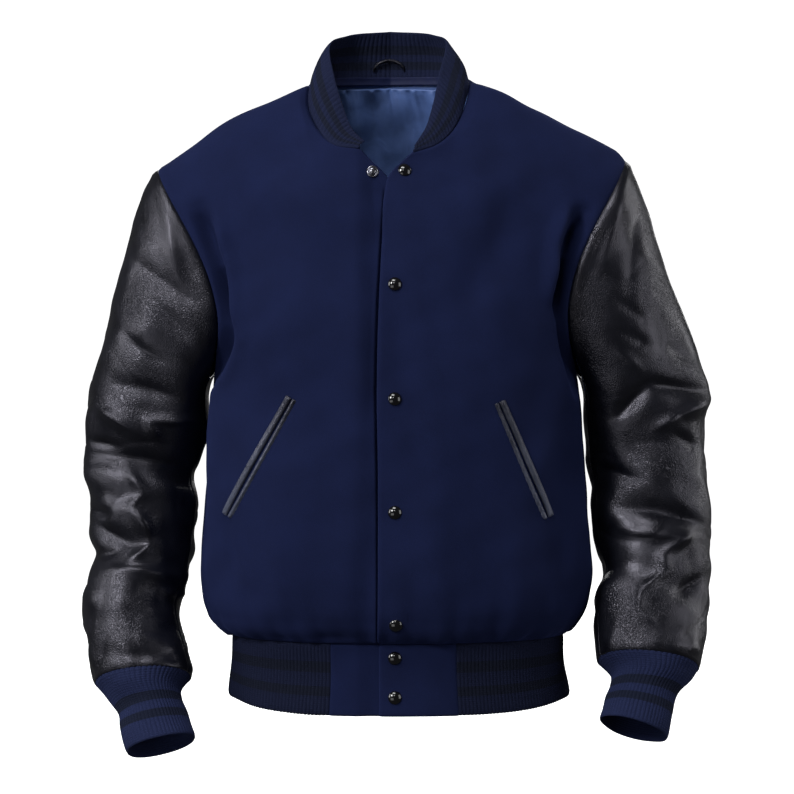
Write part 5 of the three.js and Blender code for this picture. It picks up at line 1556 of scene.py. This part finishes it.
def satin_material(context, kind="lining"):
    """Lining satin: a blue whose long floats give a soft sheen, with a very fine twill. The neck
    tape is the same cloth dyed navy and woven duller."""
    made, tree, output = new_material(f"Satin {kind}")
    if tree is None:
        return made
    colour = getattr(context.scene.jacket_colours, kind)
    rough, shine = {"lining": (0.42, 0.4), "tape": (0.6, 0.15)}[kind]
    place = add(tree, "ShaderNodeTexCoord").outputs["Object"]
    twill = add(tree, "ShaderNodeTexWave", {
        "Vector": place, "Scale": wave_scale("satin_twill", DIAGONAL_TURN), "Distortion": 0.4},
        bands_direction="DIAGONAL")
    crush = add(tree, "ShaderNodeTexNoise", {
        "Vector": place, "Scale": noise_scale("satin_crush"), "Detail": 4.0, "Roughness": 0.55,
        "Distortion": 0.8})
    weave = add(tree, "ShaderNodeBump", {
        "Height": twill.outputs["Fac"], "Strength": 0.1, "Distance": 0.0002})
    bump = add(tree, "ShaderNodeBump", {
        "Height": crush.outputs["Fac"], "Strength": 0.35, "Distance": 0.002,
        "Normal": weave.outputs["Normal"]})
    tone = add(tree, "ShaderNodeValToRGB", {"Fac": crush.outputs["Fac"]}, stops=[
        (0.3, rgba(colour, 0.85)), (0.7, rgba(colour, 1.15))])
    shader = add(tree, "ShaderNodeBsdfPrincipled", {
        "Base Color": tone.outputs["Color"], "Roughness": rough, "Specular IOR Level": shine,
        "Sheen Weight": 0.1, "Sheen Tint": rgba(colour, 4.0), "Normal": bump.outputs["Normal"]})
    tree.links.new(shader.outputs["BSDF"], output.inputs["Surface"])
    return made


def cap_material(context):
    """Brass cap with fired black enamel: deep gloss with hardly any texture."""
    made, tree, output = new_material("Enamel, black gloss")
    if tree is None:
        return made
    place = add(tree, "ShaderNodeTexCoord").outputs["Object"]
    wear = add(tree, "ShaderNodeTexNoise", {
        "Vector": place, "Scale": noise_scale("cap_wear"), "Detail": 3.0})
    rough = add(tree, "ShaderNodeMapRange", {
        "Value": wear.outputs["Fac"], "To Min": 0.1, "To Max": 0.2})
    shader = add(tree, "ShaderNodeBsdfPrincipled", {
        "Base Color": rgba(context.scene.jacket_colours.cap), "Metallic": 0.2,
        "Roughness": rough.outputs["Result"], "Coat Weight": 0.6, "Coat Roughness": 0.08})
    tree.links.new(shader.outputs["BSDF"], output.inputs["Surface"])
    return made


def stud_material(context):
    """Steel stud with polished black-nickel plate: a dark mirror with faint wear."""
    made, tree, output = new_material("Black nickel plate")
    if tree is None:
        return made
    place = add(tree, "ShaderNodeTexCoord").outputs["Object"]
    wear = add(tree, "ShaderNodeTexNoise", {
        "Vector": place, "Scale": noise_scale("stud_wear"), "Detail": 4.0})
    rough = add(tree, "ShaderNodeMapRange", {
        "Value": wear.outputs["Fac"], "To Min": 0.14, "To Max": 0.3})
    shader = add(tree, "ShaderNodeBsdfPrincipled", {
        "Base Color": rgba(context.scene.jacket_colours.stud), "Metallic": 1.0,
        "Roughness": rough.outputs["Result"]})
    tree.links.new(shader.outputs["BSDF"], output.inputs["Surface"])
    return made


# Studio: lamps as place, point aimed at, width and height in metres, watts
LAMPS = {
    "key_left": ((-2.1, -2.2, 1.1), (0.0, 0.0, -0.35), 0.65, 1.0, 60.0),
    "side_left": ((-2.5, -0.7, 0.3), (0.0, 0.0, -0.35), 0.7, 1.6, 20.0),
    "fill_right": ((2.6, -1.2, 0.0), (0.0, 0.0, -0.4), 1.4, 2.0, 21.0),
    "neck_front": ((-0.5, -2.7, 1.1), (0.0, 0.0, -0.08), 0.6, 0.5, 8.0),
    "top_front": ((-0.5, -1.2, 1.9), (0.0, 0.0, -0.3), 1.3, 0.8, 30.0),
    "low_front": ((-1.5, -2.1, -1.2), (-0.1, 0.0, -0.5), 1.8, 1.2, 10.0),
    "back_soft": ((0.3, 2.7, 0.7), (0.0, 0.0, -0.35), 2.0, 1.6, 30.0),
    "rim_right": ((2.1, 0.7, 0.1), (0.2, 0.0, -0.35), 0.5, 1.8, 10.0),
}
AIR_LIGHT = 0.07
CAMERA_PLACE = (0.0032, -2.25, -0.336)
CAMERA_LENS = 95.0

# White cove round the jacket in millimetres: its floor, half the floor's width, and its bend
FLOOR_Z = -800.0
COVE_FLOOR, COVE_BEND = 7000.0, 2000.0


def cove_profile():
    """Level floor, a quarter circle up and a dome over it, as radius and height."""
    angle = np.linspace(0, np.pi / 2, 16)
    wide, spring = COVE_FLOOR + COVE_BEND, FLOOR_Z + COVE_BEND
    bend = [(COVE_FLOOR + COVE_BEND * math.sin(a), spring - COVE_BEND * math.cos(a))
            for a in angle]
    roof = [(wide * math.cos(a), spring + COVE_FLOOR * math.sin(a)) for a in angle[1:-1]]
    return [(0, FLOOR_Z), (COVE_FLOOR, FLOOR_Z), *bend, *roof, (0, spring + COVE_FLOOR)]


def add_lamp(name, place, target, width, height, power):
    """Rectangular lamp that points at its target."""
    light = bpy.data.lights.new(name, "AREA")
    light.shape = "RECTANGLE"
    light.size, light.size_y, light.energy = width, height, power
    lamp = bpy.data.objects.new(name, light)
    lamp.location = place
    aim = Vector(target) - Vector(place)
    lamp.rotation_euler = aim.to_track_quat("-Z", "Y").to_euler()
    bpy.context.scene.collection.objects.link(lamp)


def paper_material():
    """Matt white studio paper, lit so evenly that it glows a little."""
    made, tree, output = new_material("Studio paper, white")
    shader = add(tree, "ShaderNodeBsdfPrincipled", {
        "Base Color": grey(0.9), "Roughness": 1.0, "Specular IOR Level": 0.0,
        "Emission Color": grey(1.0), "Emission Strength": 1.0})
    tree.links.new(shader.outputs["BSDF"], output.inputs["Surface"])
    return made


class JACKET_OT_stage(bpy.types.Operator):
    """Adds the white studio, its lamps and the camera."""

    bl_idname = "jacket.stage"
    bl_label = "Studio"

    def execute(self, context):
        scene = context.scene
        mesh = turned_mesh("studio", cove_profile(), 96)
        mesh.flip_normals()
        cove = add_object("studio_cove", mesh, paper_material())
        cove.visible_diffuse = False
        cove.visible_glossy = False
        cove.visible_shadow = False
        for name, lamp in LAMPS.items():
            add_lamp(name, *lamp)
        world = bpy.data.worlds.new("Studio air")
        world.use_nodes = True
        world.node_tree.nodes.clear()
        air = add(world.node_tree, "ShaderNodeBackground", {
            "Color": grey(1.0), "Strength": AIR_LIGHT})
        sky = add(world.node_tree, "ShaderNodeOutputWorld")
        world.node_tree.links.new(air.outputs["Background"], sky.inputs["Surface"])
        scene.world = world
        scene.view_settings.view_transform = "Standard"
        lens = bpy.data.cameras.new("studio_camera")
        lens.lens = CAMERA_LENS
        lens.sensor_width = 36.0
        lens.clip_start, lens.clip_end = 0.05, 60.0
        camera = bpy.data.objects.new("studio_camera", lens)
        camera.location = CAMERA_PLACE
        camera.rotation_euler = (math.pi / 2, 0, 0)
        scene.collection.objects.link(camera)
        scene.camera = camera
        return {"FINISHED"}


class JACKET_PT_panel(bpy.types.Panel):
    """Lists the jacket's settings and the operators that build it."""

    bl_label = "Varsity jacket"
    bl_space_type = "VIEW_3D"
    bl_region_type = "UI"
    bl_category = "Jacket"

    def draw(self, context):
        for group in (context.scene.jacket_sizes, context.scene.jacket_colours):
            box = self.layout.box()
            for name in type(group).__annotations__:
                box.prop(group, name)
        for operator in OPERATORS:
            self.layout.operator(operator.bl_idname)


OPERATORS = (
    JACKET_OT_body, JACKET_OT_sleeves, JACKET_OT_hem, JACKET_OT_collar, JACKET_OT_cuffs,
    JACKET_OT_inside, JACKET_OT_pockets, JACKET_OT_snaps, JACKET_OT_stage,
)
CLASSES = (JacketSizes, JacketColours, *OPERATORS, JACKET_PT_panel)


def register():
    """Registers the classes and puts the settings on the scene."""
    for each in CLASSES:
        bpy.utils.register_class(each)
    bpy.types.Scene.jacket_sizes = bpy.props.PointerProperty(type=JacketSizes)
    bpy.types.Scene.jacket_colours = bpy.props.PointerProperty(type=JacketColours)


def unregister():
    """Takes the settings and classes away again."""
    del bpy.types.Scene.jacket_colours
    del bpy.types.Scene.jacket_sizes
    for each in reversed(CLASSES):
        bpy.utils.unregister_class(each)


def main():
    """Builds the jacket piece by piece, then the studio."""
    register()
    for operator in OPERATORS:
        group, name = operator.bl_idname.split(".")
        getattr(getattr(bpy.ops, group), name)()


if __name__ == "__main__":
    main()
